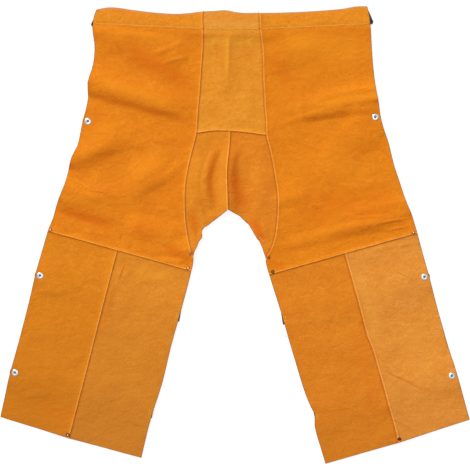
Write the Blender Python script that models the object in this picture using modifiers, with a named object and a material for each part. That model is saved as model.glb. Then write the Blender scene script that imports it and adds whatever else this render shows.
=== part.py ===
"""A split-leg welding apron of split cowhide, laid out flat on its back.

Nine leather panels are sewn edge to edge into a waist and two legs.
The waist hem is turned back into a casing that a webbing belt runs through,
and a sewn webbing strap and a leather tab lie under each leg, held by ring studs.

Plan places are millimetres from the middle of the garment, +X to the right
and +Y towards the waist; the leather lies on z = 0.
"""

import math
from collections import namedtuple

import bmesh
import bpy
from mathutils import Vector
from mathutils.bvhtree import BVHTree

MM = 0.001

# Leather, webbing and the room between them
LEATHER = 1.5
WEBBING = 1.4
GAP = 0.3
SEAM_GAP = 0.3

# The turned edge that stands proud along the upper panel of each seam
RIDGE_RISE = 1.1
RIDGE_FLAT = 4.0
RIDGE_FOOT = 6.5

# Waist casing
CASING_TAIL = 5.0
CASING_TAIL_ROOM = 1.5
CASING_FADE = 14.0
BACK_MIDDLE_SHARE = 0.6
FRONT_MIDDLE_SHARE = 0.5
STITCH_ABOVE = 1.0
STITCH_BELOW = 2.5
BODY_START = 60.0
FIRST_SECTION_ROOM = 0.3
BACK_LAYER_INSET = 9.0
REAR_RUN_TOP = WEBBING
BACK_LAYER_LOW = REAR_RUN_TOP + GAP
BACK_LAYER_TOP = BACK_LAYER_LOW + LEATHER
FRONT_RUN_LOW = BACK_LAYER_TOP + GAP
FRONT_LAYER_LOW = FRONT_RUN_LOW + WEBBING + GAP
FOLD_CENTRE_Z = (BACK_LAYER_TOP + FRONT_LAYER_LOW) / 2
FOLD_INSIDE = (FRONT_LAYER_LOW - BACK_LAYER_TOP) / 2
FOLD_OUTSIDE = FOLD_INSIDE + LEATHER
FOLD_STEPS = 4

# Belt
BELT_WIDTH = 25.0
BELT_REAR_DROP = 9.5
BELT_STEP = 20.0
BELT_TURN_STEPS = 6
BELT_CLIMB = 20.0
TURN_ROOM = 12.0
REAR_RUN_MIDDLE = WEBBING / 2
FRONT_RUN_MIDDLE = FRONT_RUN_LOW + WEBBING / 2
BUCKLE_LENGTH = 46.0
BUCKLE_WIDTH = 30.0
BUCKLE_HEIGHT = 4.2
BUCKLE_SLOT = 9.0
BUCKLE_SLOT_ROOM = 1.0
BUCKLE_MOUTH_ROOM = 2.0
BUCKLE_LEVEL_ROOM = 1.0
BUCKLE_ROUNDING = 1.0
BUCKLE_ROUNDING_STEPS = 2
BUCKLE_X = -15.0

# Leg straps
STRAP_WIDTH = 25.0
TAB_LENGTH = 62.0
TAB_OVERLAP = 20.0
TAB_END_STEPS = 5
TAB_FIRST_STEP = 0.4
TAB_LOW = WEBBING + GAP

# Ring studs and seam rivets
STUD_RADIUS = 7.5
STUD_HOLE = 2.6
STUD_SHANK = 3.8
STUD_FOOT = 6.5
STUD_HEAD = 1.5
STUD_STEPS = 14
RING_STEPS = 4
RING_INNER_RIM = 0.5
RING_MIDDLE = 0.45
RING_OUTER_RIM = 0.4
RING_CHAMFER = 0.4
RIVET_RADIUS = 4.0
RIVET_SHANK = 1.5
RIVET_FOOT = 3.4
RIVET_HEAD = 1.3
RIVET_STEPS = 8
FOOT_HEIGHT = 0.8
PUNCH_STEPS = 10
PUNCH_DEPTH = 60.0
SEAT_RAYS = 8
RAY_START = 1000.0

# Spacing of the sections that each panel is lofted through
THIGH_PARTS = 2
THIGH_COLUMNS = 10
YOKE_COLUMNS = 9
GORE_COLUMNS = 5
SHIN_COLUMNS = 6
SHIN_ROW = 26.0

ThighSection = namedtuple("ThighSection", "outer_x outer_y inner_x inner_y")
ShinSection = namedtuple("ShinSection", "outer_x outer_y seam_x seam_y inner_x inner_y")
Place = namedtuple("Place", "x y")
Fold = namedtuple("Fold", "x0 y0 x1 y1 height left_reach right_reach fade_in fade_out")
Strap = namedtuple("Strap", "name stud_x stud_y end_x end_y skew")
Rivet = namedtuple("Rivet", "name panel x y")
BeltTurn = namedtuple("BeltTurn", "upper_x lower_x")
DomePoint = namedtuple("DomePoint", "radius_share height_share")

# Sections of the thigh panels from the waist down: outer edge and inner seam
YOKE_ROW = 9
GORE_TIP_ROW = 18

LEFT_THIGH = (
    ThighSection(-304, 496, -70, 491),
    ThighSection(-311, 475, -71, 472),
    ThighSection(-313, 451, -70, 447),
    ThighSection(-309, 420, -70, 414),
    ThighSection(-310, 389, -73, 378),
    ThighSection(-315, 363, -75, 348),
    ThighSection(-323, 334, -77, 315),
    ThighSection(-323, 304, -80, 284),
    ThighSection(-327, 278, -82, 255),
    ThighSection(-334, 252, -84.4, 223.5),
    ThighSection(-340, 223, -91, 196),
    ThighSection(-346, 197, -100, 161),
    ThighSection(-358, 172, -107, 125),
    ThighSection(-366, 143, -110, 95),
    ThighSection(-374, 112, -110, 62),
    ThighSection(-386, 82, -108.5, 29),
    ThighSection(-394, 60, -103.5, -4),
    ThighSection(-399, 41, -97, -33),
    ThighSection(-404, 27, -91, -49),
    ThighSection(-408, 18, -92, -63),
    ThighSection(-411.4, 8.8, -95.3, -79.2),
)

RIGHT_THIGH = (
    ThighSection(290, 503, 53, 488),
    ThighSection(295, 482, 54, 470),
    ThighSection(298, 455, 56, 444),
    ThighSection(300, 425, 59.5, 414),
    ThighSection(302, 392, 61.5, 378),
    ThighSection(305, 361, 62, 345),
    ThighSection(308, 334, 64, 312),
    ThighSection(311, 312, 65, 282),
    ThighSection(316, 288, 68, 251),
    ThighSection(319, 264, 68.6, 219.5),
    ThighSection(327, 233, 75, 194),
    ThighSection(337, 206, 82, 163),
    ThighSection(344, 178, 88, 128),
    ThighSection(351, 150, 93, 95),
    ThighSection(361, 121, 94, 62),
    ThighSection(370, 92, 92, 29),
    ThighSection(380, 64, 88, -2),
    ThighSection(389, 44, 78, -33),
    ThighSection(394, 27, 67, -53),
    ThighSection(398, 14, 69, -67),
    ThighSection(400.8, 4.4, 74.8, -87.6),
)

# Sections of the shins from the knee seam to the hem
LEFT_SHIN = (
    ShinSection(-411.4, 8.8, -258.4, -33.8, -95.3, -79.2),
    ShinSection(-435, -73, -280, -117, -117, -161),
    ShinSection(-455, -155, -301, -199, -140, -243),
    ShinSection(-476, -236, -322, -282, -160, -326),
    ShinSection(-498, -319, -343, -364, -186, -408),
    ShinSection(-516, -400, -365, -447, -206, -490),
)

RIGHT_SHIN = (
    ShinSection(400.8, 4.4, 241.3, -41.2, 74.8, -87.6),
    ShinSection(423, -78, 264.6, -124, 101, -170),
    ShinSection(445, -160, 286.9, -207, 125, -253),
    ShinSection(449, -175, 290.7, -222, 129.5, -268),
    ShinSection(457.6, -205, 303.3, -253, 138.7, -298.5),
    ShinSection(468, -242, 313.9, -291, 150, -336),
    ShinSection(481, -283, 326.3, -333, 166, -377),
    ShinSection(486, -300, 330.6, -349, 175, -394),
    ShinSection(493, -324, 337.1, -374, 175, -419),
    ShinSection(505, -365, 349.5, -416, 186, -460),
    ShinSection(516, -406, 358.8, -457, 199, -503),
)

# Edges that run across the sections
WAIST_EDGE = (
    Place(-304, 496),
    Place(-283, 501),
    Place(-231, 495),
    Place(-169, 488),
    Place(-117, 486),
    Place(-70, 491),
    Place(-43, 492),
    Place(-20, 494),
    Place(2, 489),
    Place(53, 488),
    Place(110, 489),
    Place(187, 493),
    Place(253, 499),
    Place(285, 505),
    Place(290, 503),
)

# Depth of the casing's stitch line below the waist edge, at the four edges from left to right
CASING_DEPTHS = (32.5, 38.0, 35.5, 39.5)

# Upper edge of the belt inside the casing
BELT_LINE = (
    Place(-330, 492.5),
    Place(-280, 491),
    Place(-190, 486),
    Place(-117, 483),
    Place(0, 484),
    Place(110, 485),
    Place(200, 490),
    Place(310, 498),
)

YOKE_FOOT = (
    Place(-84.4, 223.5),
    Place(-65, 227.2),
    Place(-48, 229.2),
    Place(-20, 229),
    Place(12, 227),
    Place(34, 224.5),
    Place(56, 221),
    Place(68.6, 219.5),
)

CENTRE_SEAM = (
    Place(-9.5, 229), Place(-12.5, 189), Place(-17, 146), Place(-16.5, 100), Place(-15, 56))

LEFT_CROTCH = (
    Place(-91, -49),
    Place(-83, -25),
    Place(-74, -7),
    Place(-73, 9),
    Place(-62, 19),
    Place(-40, 36),
    Place(-15, 56),
)

RIGHT_CROTCH = (
    Place(-15, 56),
    Place(3, 46),
    Place(26, 28),
    Place(42, 1),
    Place(57, -17),
    Place(59, -26),
    Place(67, -53),
)

# Folds as ridges: crest ends, height, reach to the left and right of the crest's way, end fades
FOLDS = (
    Fold(-330, 474, -106, 372, 6.0, 42, 40, 60, 40),
    Fold(-360, 342, -84, 264, 9.5, 44, 25, 0, 80),
    Fold(-370, 163, -187, 240, 9.0, 42, 32, 0, 110),
    Fold(-430, 98, -240, 66, 8.5, 46, 28, 0, 70),
    Fold(-262, 62, -139, 169, 6.5, 46, 34, 70, 70),
    Fold(-170, -28, -80, -40, 3.5, 32, 22, 40, 0),
    Fold(45, 376, 220, 429, 4.0, 42, 44, 50, 70),
    Fold(95, 264, 345, 311, 9.0, 40, 22, 150, 0),
    Fold(190, 4, 420, 72, 6.0, 42, 28, 80, 0),
    Fold(-15, 460, -20, 290, 3.5, 26, 26, 40, 60),
    Fold(-12, 224, -17, 30, 7.5, 27, 26, 70, 0),
    Fold(-80, 200, -77, 40, 5.5, 28, 30, 60, 50),
    Fold(58, 170, 60, 30, 4.0, 30, 30, 60, 50),
)

# Where the belt turns back at the casing's ends, at its upper and lower edges
LEFT_TURN = BeltTurn(-301.5, -313.9)
RIGHT_TURN = BeltTurn(291.2, 301.5)

# Leg straps from the ring stud at the outer edge to the sewn end at the inner edge
STRAPS = (
    Strap("thigh_left", -323, 249.5, -72.5, 0.5, 0.0),
    Strap("thigh_right", 308.2, 259, 53.5, -14, 0.0),
    Strap("knee_left", -428, -89.3, -120.5, -178.5, -1.4),
    Strap("knee_right", 416, -92, 103.5, -185, 1.6),
    Strap("ankle_left", -483, -302.3, -180.5, -390.5, -1.2),
    Strap("ankle_right", 476, -309, 175, -400, 0.8),
)

RIVETS = (
    Rivet("knee_outer_left", "thigh_panel_left", -405.5, 11.6),
    Rivet("knee_inner_left", "thigh_panel_left", -103.2, -72.2),
    Rivet("gore_left", "thigh_panel_left", -98.8, -39.6),
    Rivet("hem_left", "shin_outer_left", -367.2, -439.0),
    Rivet("knee_outer_right", "thigh_panel_right", 391.6, 6.0),
    Rivet("knee_inner_right", "thigh_panel_right", 82.8, -80.8),
    Rivet("gore_right", "thigh_panel_right", 73.4, -48.6),
    Rivet("hem_right", "shin_outer_right", 360.8, -447.9),
)

# A rivet's domed head from its middle to its rim, as shares of its radius and height
RIVET_DOME = (
    DomePoint(0.0, 1.0),
    DomePoint(0.55, 0.85),
    DomePoint(0.9, 0.4),
    DomePoint(1.0, 0.0),
)

# Room that the leather leaves over what lies under it: flat top, then a slope down to the floor
SUPPORT_FLAT = 9.0
SUPPORT_SLOPE = 32.0
STRAP_LIFT = WEBBING + 2 * GAP
TAB_LIFT = TAB_LOW + LEATHER + 2 * GAP
RIVET_LIFT = FOOT_HEIGHT + 3 * GAP
RIVET_FLAT = 15.0
BUCKLE_LIFT = BUCKLE_HEIGHT - REAR_RUN_TOP + GAP
BUCKLE_FLAT = BUCKLE_LENGTH / 2 + 8.0
BUCKLE_SLOPE = 100.0
BUCKLE_SPILL = 0.4

# Surfaces: colour, roughness and metallic value
Finish = namedtuple("Finish", "colour roughness metallic")
FINISHES = {
    "leather_thigh": Finish((0.72, 0.31, 0.045, 1.0), 0.9, 0.0),
    "leather_yoke": Finish((0.75, 0.33, 0.06, 1.0), 0.9, 0.0),
    "leather_shin": Finish((0.68, 0.28, 0.045, 1.0), 0.9, 0.0),
    "webbing_black": Finish((0.015, 0.014, 0.013, 1.0), 0.8, 0.0),
    "plastic_black": Finish((0.02, 0.02, 0.02, 1.0), 0.45, 0.0),
    "steel_ring": Finish((0.72, 0.72, 0.70, 1.0), 0.3, 1.0),
}
PANEL_LEATHERS = {"thigh": "thigh", "front": "yoke", "gore": "yoke", "shin": "shin"}
STUD_PANELS = {"thigh": "thigh_panel", "knee": "shin_outer", "ankle": "shin_outer"}


def smooth_step(value):
    """0 below 0, 1 above 1, and a smooth rise between."""
    value = min(max(value, 0.0), 1.0)
    return value * value * (3.0 - 2.0 * value)


class Edge:
    """A smooth line in plan through a few places, with places by section or by length."""

    SAMPLES = 16
    FRACTION_TOLERANCE = 1e-5

    def __init__(self, places):
        self.points = [Vector((place.x, place.y)) for place in places]
        self.spans = [(b - a).length for a, b in zip(self.points, self.points[1:])]
        self.slopes = [self._slope(index) for index in range(len(self.points))]
        last = len(self.spans)
        self.table = [(0.0, 0.0)]
        before = self.at(0.0)
        for step in range(1, last * self.SAMPLES + 1):
            position = step / self.SAMPLES
            here = self.at(position)
            self.table.append((position, self.table[-1][1] + (here - before).length))
            before = here
        self.length = self.table[-1][1]

    def _slope(self, index):
        """Direction of the line at a place, from its two neighbours."""
        if index == 0:
            return (self.points[1] - self.points[0]) / self.spans[0]
        if index == len(self.points) - 1:
            return (self.points[-1] - self.points[-2]) / self.spans[-1]
        span_in, span_out = self.spans[index - 1], self.spans[index]
        way_in = (self.points[index] - self.points[index - 1]) / span_in
        way_out = (self.points[index + 1] - self.points[index]) / span_out
        return (way_in * span_out + way_out * span_in) / (span_in + span_out)

    def at(self, position):
        """Place at a section number, which may have a fraction."""
        index = min(int(position), len(self.spans) - 1)
        t = position - index
        span = self.spans[index]
        return (
            self.points[index] * (1 + 2 * t) * (1 - t) ** 2
            + self.slopes[index] * (t * (1 - t) ** 2 * span)
            + self.points[index + 1] * (t * t * (3 - 2 * t))
            + self.slopes[index + 1] * (t * t * (t - 1) * span)
        )

    def position_at(self, length):
        """Section number, with its fraction, at a length along the line."""
        for (low, low_length), (high, high_length) in zip(self.table, self.table[1:]):
            if length <= high_length:
                return low + (high - low) * (length - low_length) / (high_length - low_length)
        return self.table[-1][0]

    def at_fraction(self, fraction):
        """Place at a fraction of the whole length."""
        return self.at(self.position_at(fraction * self.length))

    def fraction_at_x(self, x):
        """Fraction of the length at which a line that runs to the right reaches x."""
        low, high = 0.0, 1.0
        while high - low > self.FRACTION_TOLERANCE:
            middle = (low + high) / 2
            if self.at_fraction(middle).x < x:
                low = middle
            else:
                high = middle
        return low

    def y_at_x(self, x):
        """Height up the plan of a line that runs to the right."""
        return self.at_fraction(self.fraction_at_x(x)).y


def stretch_of(edge, start, end):
    """The part of an edge between two fractions of its length, as a function of 0 to 1."""
    return lambda fraction: edge.at_fraction(start + (end - start) * fraction)


def plateau(distance, flat, slope):
    """1 out to flat, then a smooth slope to 0."""
    return 1.0 - smooth_step((distance - flat) / slope)


def distance_to_run(point, start, end):
    """Distance in plan from a point to a straight run."""
    along = end - start
    share = max(0.0, min(1.0, (point - start).dot(along) / along.length_squared))
    return (point - start - along * share).length


def fold_height(fold, point):
    """Height of one fold over a place in plan."""
    start, end = Vector((fold.x0, fold.y0)), Vector((fold.x1, fold.y1))
    along = end - start
    length = along.length
    along /= length
    offset = point - start
    run = offset.dot(along)
    side = along.x * offset.y - along.y * offset.x
    reach = fold.left_reach if side > 0 else fold.right_reach
    share = side / reach
    if abs(share) >= 1.0 or run < -fold.fade_in or run > length + fold.fade_out:
        return 0.0
    height = fold.height * (1 - share * share) ** 2
    if fold.fade_in:
        height *= smooth_step(run / fold.fade_in)
    if fold.fade_out:
        height *= smooth_step((length - run) / fold.fade_out)
    return height


def strap_ends(strap):
    """Stud, sewn end and direction of a strap in plan."""
    stud, end = Vector((strap.stud_x, strap.stud_y)), Vector((strap.end_x, strap.end_y))
    return stud, end, (end - stud).normalized()


def support_height(point):
    """Height that the straps, tabs and rivet feet under the leather hold it at."""
    lift = 0.0
    for strap in STRAPS:
        stud, end, way = strap_ends(strap)
        half = STRAP_WIDTH / 2 + SUPPORT_FLAT
        lift = max(lift, STRAP_LIFT * plateau(distance_to_run(point, stud, end), half, SUPPORT_SLOPE))
        tab_end = stud + way * (TAB_LENGTH - STRAP_WIDTH / 2)
        away = distance_to_run(point, stud, tab_end)
        lift = max(lift, TAB_LIFT * plateau(away, half, SUPPORT_SLOPE))
    for rivet in RIVETS:
        away = (point - Vector((rivet.x, rivet.y))).length
        lift = max(lift, RIVET_LIFT * plateau(away, RIVET_FLAT, SUPPORT_SLOPE))
    return lift


def body_height(point):
    """Height of the leather's underside over the floor."""
    return sum(fold_height(fold, point) for fold in FOLDS) + support_height(point)


def buckle_lift(x):
    """Height that the belt's buckle adds under the waist casing."""
    return BUCKLE_LIFT * plateau(abs(x - BUCKLE_X), BUCKLE_FLAT, BUCKLE_SLOPE)


CasingStation = namedtuple("CasingStation", "down inside_z wall_down wall_z back_share")


def casing_stations(depth):
    """The hem's path from its free edge up the back, over the waist edge and down the front."""
    stations = [
        CasingStation(down, BACK_LAYER_TOP, 0.0, -LEATHER, 1.0)
        for down in (depth + CASING_TAIL, depth * BACK_MIDDLE_SHARE, FOLD_OUTSIDE)
    ]
    for step in range(1, FOLD_STEPS):
        angle = -math.pi / 2 + math.pi * step / FOLD_STEPS
        stations.append(CasingStation(
            FOLD_OUTSIDE - FOLD_INSIDE * math.cos(angle),
            FOLD_CENTRE_Z + FOLD_INSIDE * math.sin(angle),
            -LEATHER * math.cos(angle),
            LEATHER * math.sin(angle),
            1 - step / FOLD_STEPS,
        ))
    sewn_low = BACK_LAYER_TOP + GAP
    front = (
        (FOLD_OUTSIDE, FRONT_LAYER_LOW),
        (depth * FRONT_MIDDLE_SHARE, FRONT_LAYER_LOW),
        (depth - STITCH_ABOVE, FRONT_LAYER_LOW),
        (depth + STITCH_BELOW, sewn_low),
        (depth + CASING_TAIL + CASING_TAIL_ROOM, sewn_low),
        (depth + CASING_FADE, REAR_RUN_TOP + 2 * GAP),
    )
    stations += [CasingStation(down, z, 0.0, LEATHER, 0.0) for down, z in front]
    return stations


def column_shares(width, count, ridge_left, ridge_right):
    """Shares of a section's width, with close columns where a seam ridge stands."""
    low = RIDGE_FOOT if ridge_left else 0.0
    high = width - (RIDGE_FOOT if ridge_right else 0.0)
    middle = [low + (high - low) * index / count for index in range(count + 1)]
    left = [0.0, RIDGE_FLAT] if ridge_left else []
    right = [width - RIDGE_FLAT, width] if ridge_right else []
    return [place / width for place in left + middle + right]


def ridge_height(from_left, from_right, from_foot, ridges):
    """Height of the turned seam edges at a place, from its distances to the edges."""
    height = 0.0
    for name, away in (("left", from_left), ("right", from_right), ("foot", from_foot)):
        if name in ridges:
            height = max(height, plateau(away, RIDGE_FLAT, RIDGE_FOOT - RIDGE_FLAT))
    return RIDGE_RISE * height


def inset_seams(plan, sides):
    """Draw the sewn sides of a grid of places in by half the seam gap."""
    rows, columns = len(plan), len(plan[0])
    moved = [[place.copy() for place in row] for row in plan]

    def pull(row, column, before, after, inside):
        tangent = after - before
        normal = Vector((-tangent.y, tangent.x)).normalized()
        if normal.dot(inside - plan[row][column]) < 0:
            normal.negate()
        moved[row][column] += normal * (SEAM_GAP / 2)

    for row in range(rows):
        above, below = plan[max(row - 1, 0)], plan[min(row + 1, rows - 1)]
        if "left" in sides:
            pull(row, 0, above[0], below[0], plan[row][1])
        if "right" in sides:
            pull(row, columns - 1, above[-1], below[-1], plan[row][-2])
    for column in range(columns):
        before, after = max(column - 1, 0), min(column + 1, columns - 1)
        if "head" in sides:
            pull(0, column, plan[0][before], plan[0][after], plan[1][column])
        if "foot" in sides:
            pull(rows - 1, column, plan[-1][before], plan[-1][after], plan[-2][column])
    return moved


Section = namedtuple("Section", "left right down")


class Panel:
    """One cut piece of leather, lofted through sections between its left and right edges."""

    def __init__(self, columns, ridges=(), seams=(), head=None, foot=None):
        self.columns = columns
        self.ridges = ridges
        self.seams = seams
        self.head = head
        self.foot = foot

    def row(self, section, first, last, head_share, foot_share):
        """Plan places along one section, bent towards the head and foot edges."""
        width = (section.right - section.left).length
        shares = column_shares(width, self.columns, "left" in self.ridges, "right" in self.ridges)
        places = []
        for share in shares:
            place = section.left.lerp(section.right, share)
            if self.head:
                place += (self.head(share) - first.left.lerp(first.right, share)) * head_share
            if self.foot:
                place += (self.foot(share) - last.left.lerp(last.right, share)) * foot_share
            places.append(place)
        return places

    def seam_rise(self, plan, row, column):
        """Extra height of the outer face where a seam's turned edge stands."""
        here = plan[row][column]
        from_left = (here - plan[row][0]).length
        from_right = (here - plan[row][-1]).length
        from_foot = sum(
            (plan[index + 1][column] - plan[index][column]).length for index in range(row, len(plan) - 1)
        )
        return ridge_height(from_left, from_right, from_foot, self.ridges)


def section_positions(first, last, parts):
    """Section numbers from first to last, each span cut into equal parts."""
    return [first + step / parts for step in range((last - first) * parts + 1)]


def with_foot_rows(sections):
    """Add sections beside the foot, where its turned edge stands."""
    above, foot = sections[-2:]
    length = ((foot.left - above.left).length + (foot.right - above.right).length) / 2
    extra = []
    for away in (RIDGE_FOOT, RIDGE_FLAT):
        mix = 1 - away / length
        extra.append(Section(
            above.left.lerp(foot.left, mix),
            above.right.lerp(foot.right, mix),
            above.down + (foot.down - above.down) * mix,
        ))
    return sections[:-1] + extra + sections[-1:]


def casing_point(station, depth, place, rise):
    """Inside point of the turned hem at a plan place, and its outside point."""
    low = station.inside_z + buckle_lift(place.x)
    if station.back_share == 0.0:
        below = (station.down - depth) / (BODY_START - depth)
        low += body_height(place) * smooth_step(below)
    inner = Vector((place.x, place.y, low))
    return inner, inner + Vector((0.0, -station.wall_down, station.wall_z + rise))


def laid_point(place, rise, lift=0.0):
    """Inside and outside points of the leather where it lies in one layer."""
    inner = Vector((place.x, place.y, body_height(place) + lift))
    return inner, inner + Vector((0.0, 0.0, LEATHER + rise))


def waist_panel(panel, left, right, last_row, depths, inset_side=None):
    """Walls of a panel from its turned waist hem down to a section of its two edges."""
    first = Section(left.at(0.0), right.at(0.0), 0.0)
    last = Section(left.at(float(last_row)), right.at(float(last_row)), 1.0)
    left_start, right_start = left.position_at(BODY_START), right.position_at(BODY_START)
    first_section = math.ceil(max(left_start, right_start) + FIRST_SECTION_ROOM)
    sections = [Section(left.at(left_start), right.at(right_start), left_start / last_row)]
    sections += [
        Section(left.at(position), right.at(position), position / last_row)
        for position in section_positions(first_section, last_row, THIGH_PARTS)
    ]
    if "foot" in panel.ridges:
        sections = with_foot_rows(sections)

    plan = []
    stations = casing_stations(depths[0])
    for at_left, at_right in zip(stations, casing_stations(depths[1])):
        left_place = left.at(left.position_at(at_left.down))
        right_place = right.at(right.position_at(at_right.down))
        inset = (right_place - left_place).normalized() * BACK_LAYER_INSET * at_left.back_share
        if inset_side == "left":
            left_place = left_place + inset
        if inset_side == "right":
            right_place = right_place - inset
        head_share = max(0.0, 1 - max(0.0, at_left.down - FOLD_OUTSIDE) / depths[0])
        plan.append(panel.row(Section(left_place, right_place, 0.0), first, last, head_share, 0.0))
    plan += [panel.row(section, first, last, 0.0, section.down) for section in sections]
    plan = inset_seams(plan, panel.seams)

    walls = []
    for row, line in enumerate(plan):
        in_front = row >= len(stations) or stations[row].back_share == 0.0
        points = []
        for column, place in enumerate(line):
            rise = panel.seam_rise(plan, row, column) if in_front else 0.0
            if row < len(stations):
                points.append(casing_point(stations[row], depths[0], place, rise))
            else:
                spill = BUCKLE_SPILL if row == len(stations) else 0.0
                points.append(laid_point(place, rise, buckle_lift(place.x) * spill))
        walls.append(points)
    return walls


def laid_panel(panel, sections):
    """Walls of a panel with no turned hem."""
    first, last = sections[0], sections[-1]
    plan = [panel.row(section, first, last, 1 - section.down, section.down) for section in sections]
    plan = inset_seams(plan, panel.seams)
    return [
        [laid_point(place, panel.seam_rise(plan, row, column)) for column, place in enumerate(line)]
        for row, line in enumerate(plan)
    ]


def new_collection(name):
    """An empty collection in the scene."""
    collection = bpy.data.collections.new(name)
    bpy.context.scene.collection.children.link(collection)
    return collection


def make_material(name, finish):
    """A Principled material for one of the garment's surfaces."""
    material = bpy.data.materials.new(name)
    material.use_nodes = True
    shader = material.node_tree.nodes["Principled BSDF"]
    shader.inputs["Base Color"].default_value = finish.colour
    shader.inputs["Roughness"].default_value = finish.roughness
    shader.inputs["Metallic"].default_value = finish.metallic
    return material


def add_object(name, mesh, collection, material=None):
    """Link a mesh into a collection as one named piece."""
    piece = bpy.data.objects.new(name, mesh)
    if material:
        mesh.materials.append(material)
    collection.objects.link(piece)
    return piece


def wall_mesh(name, walls):
    """A sheet of faces through the inside points, drawn out to the outside points."""
    shape = bmesh.new()
    index_layer = shape.verts.layers.int.new("station")
    outside = []
    grid = []
    for line in walls:
        row = []
        for inner, outer in line:
            vertex = shape.verts.new(inner * MM)
            vertex[index_layer] = len(outside)
            outside.append(outer * MM)
            row.append(vertex)
        grid.append(row)
    for upper, lower in zip(grid, grid[1:]):
        for corner in range(len(upper) - 1):
            shape.faces.new((upper[corner], lower[corner], lower[corner + 1], upper[corner + 1]))
    drawn = bmesh.ops.extrude_face_region(shape, geom=shape.faces[:])
    for vertex in drawn["geom"]:
        if isinstance(vertex, bmesh.types.BMVert):
            vertex.co = outside[vertex[index_layer]]
    bmesh.ops.recalc_face_normals(shape, faces=shape.faces[:])
    mesh = bpy.data.meshes.new(name)
    shape.to_mesh(mesh)
    shape.free()
    return mesh


def edge_of(sections, side):
    """The edge that a table's sections give for one side."""
    places = []
    for section in sections:
        places.append(Place(getattr(section, f"{side}_x"), getattr(section, f"{side}_y")))
    return Edge(places)


def thigh_and_yoke_walls(left_inner, right_inner, yoke_foot):
    """The walls of the three panels that start at the waist, by name."""
    left_outer, right_outer = edge_of(LEFT_THIGH, "outer"), edge_of(RIGHT_THIGH, "outer")
    waist = Edge(WAIST_EDGE)
    yoke_start = waist.fraction_at_x(LEFT_THIGH[0].inner_x)
    yoke_end = waist.fraction_at_x(RIGHT_THIGH[0].inner_x)
    last_row = len(LEFT_THIGH) - 1
    left_thigh = Panel(
        THIGH_COLUMNS, ("right", "foot"), ("right", "foot"), head=stretch_of(waist, 0.0, yoke_start))
    right_thigh = Panel(
        THIGH_COLUMNS, ("left", "foot"), ("left", "foot"), head=stretch_of(waist, yoke_end, 1.0))
    yoke = Panel(
        YOKE_COLUMNS, ("foot",), ("left", "right", "foot"),
        head=stretch_of(waist, yoke_start, yoke_end), foot=yoke_foot.at_fraction)
    return {
        "thigh_panel_left": waist_panel(
            left_thigh, left_outer, left_inner, last_row, CASING_DEPTHS[0:2], "left"),
        "thigh_panel_right": waist_panel(
            right_thigh, right_inner, right_outer, last_row, CASING_DEPTHS[2:4], "right"),
        "front_yoke": waist_panel(yoke, left_inner, right_inner, YOKE_ROW, CASING_DEPTHS[1:3]),
    }


def gore_walls(left_inner, right_inner, yoke_foot):
    """The walls of the two crotch gores, by name."""
    centre_share = yoke_foot.fraction_at_x(CENTRE_SEAM[0].x)
    centre = Edge((yoke_foot.at_fraction(centre_share),) + CENTRE_SEAM[1:])
    gore_span = GORE_TIP_ROW - YOKE_ROW
    centre_parts = (len(CENTRE_SEAM) - 1) / gore_span
    left_sections = []
    right_sections = []
    for position in section_positions(YOKE_ROW, GORE_TIP_ROW, THIGH_PARTS):
        share = (position - YOKE_ROW) / gore_span
        middle = centre.at((position - YOKE_ROW) * centre_parts)
        left_sections.append(Section(left_inner.at(position), middle, share))
        right_sections.append(Section(middle, right_inner.at(position), share))
    seams = ("left", "right", "head")
    left_gore = Panel(
        GORE_COLUMNS, ("right",), seams,
        head=stretch_of(yoke_foot, 0.0, centre_share), foot=Edge(LEFT_CROTCH).at_fraction)
    right_gore = Panel(
        GORE_COLUMNS, (), seams,
        head=stretch_of(yoke_foot, centre_share, 1.0), foot=Edge(RIGHT_CROTCH).at_fraction)
    return {
        "gore_left": laid_panel(left_gore, left_sections),
        "gore_right": laid_panel(right_gore, right_sections),
    }


def shin_walls(side, table):
    """The walls of one lower leg's two panels, by name."""
    outer, seam, inner = (edge_of(table, name) for name in ("outer", "seam", "inner"))
    positions = [0.0]
    for index, span in enumerate(seam.spans):
        parts = max(1, round(span / SHIN_ROW))
        positions += [index + (step + 1) / parts for step in range(parts)]
    last = len(table) - 1
    outer_sections = []
    inner_sections = []
    for position in positions:
        at_outer, at_seam, at_inner = outer.at(position), seam.at(position), inner.at(position)
        if side == "left":
            outer_sections.append(Section(at_outer, at_seam, position / last))
            inner_sections.append(Section(at_seam, at_inner, position / last))
        else:
            outer_sections.append(Section(at_seam, at_outer, position / last))
            inner_sections.append(Section(at_inner, at_seam, position / last))
    outer_seam = "right" if side == "left" else "left"
    outer_panel = Panel(SHIN_COLUMNS, (outer_seam,), (outer_seam, "head"))
    inner_panel = Panel(SHIN_COLUMNS, (), (side, "head"))
    return {
        f"shin_outer_{side}": laid_panel(outer_panel, outer_sections),
        f"shin_inner_{side}": laid_panel(inner_panel, inner_sections),
    }


def panel_walls():
    """The walls of all nine panels, by name."""
    left_inner, right_inner = edge_of(LEFT_THIGH, "inner"), edge_of(RIGHT_THIGH, "inner")
    yoke_foot = Edge(YOKE_FOOT)
    walls = thigh_and_yoke_walls(left_inner, right_inner, yoke_foot)
    walls.update(gore_walls(left_inner, right_inner, yoke_foot))
    walls.update(shin_walls("left", LEFT_SHIN))
    walls.update(shin_walls("right", RIGHT_SHIN))
    return walls


def strip_walls(start, way, rows):
    """Walls of a flat strip: each row is how far along, the skew, half its width, and its underside."""
    across = Vector((-way.y, way.x))
    walls = []
    for along, skew, half, low in rows:
        line = []
        for side in (-1.0, 1.0):
            place = start + way * (along + side * skew) + across * (side * half)
            inner = Vector((place.x, place.y, low))
            line.append((inner, inner + Vector((0.0, 0.0, WEBBING))))
        walls.append(line)
    return walls


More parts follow.
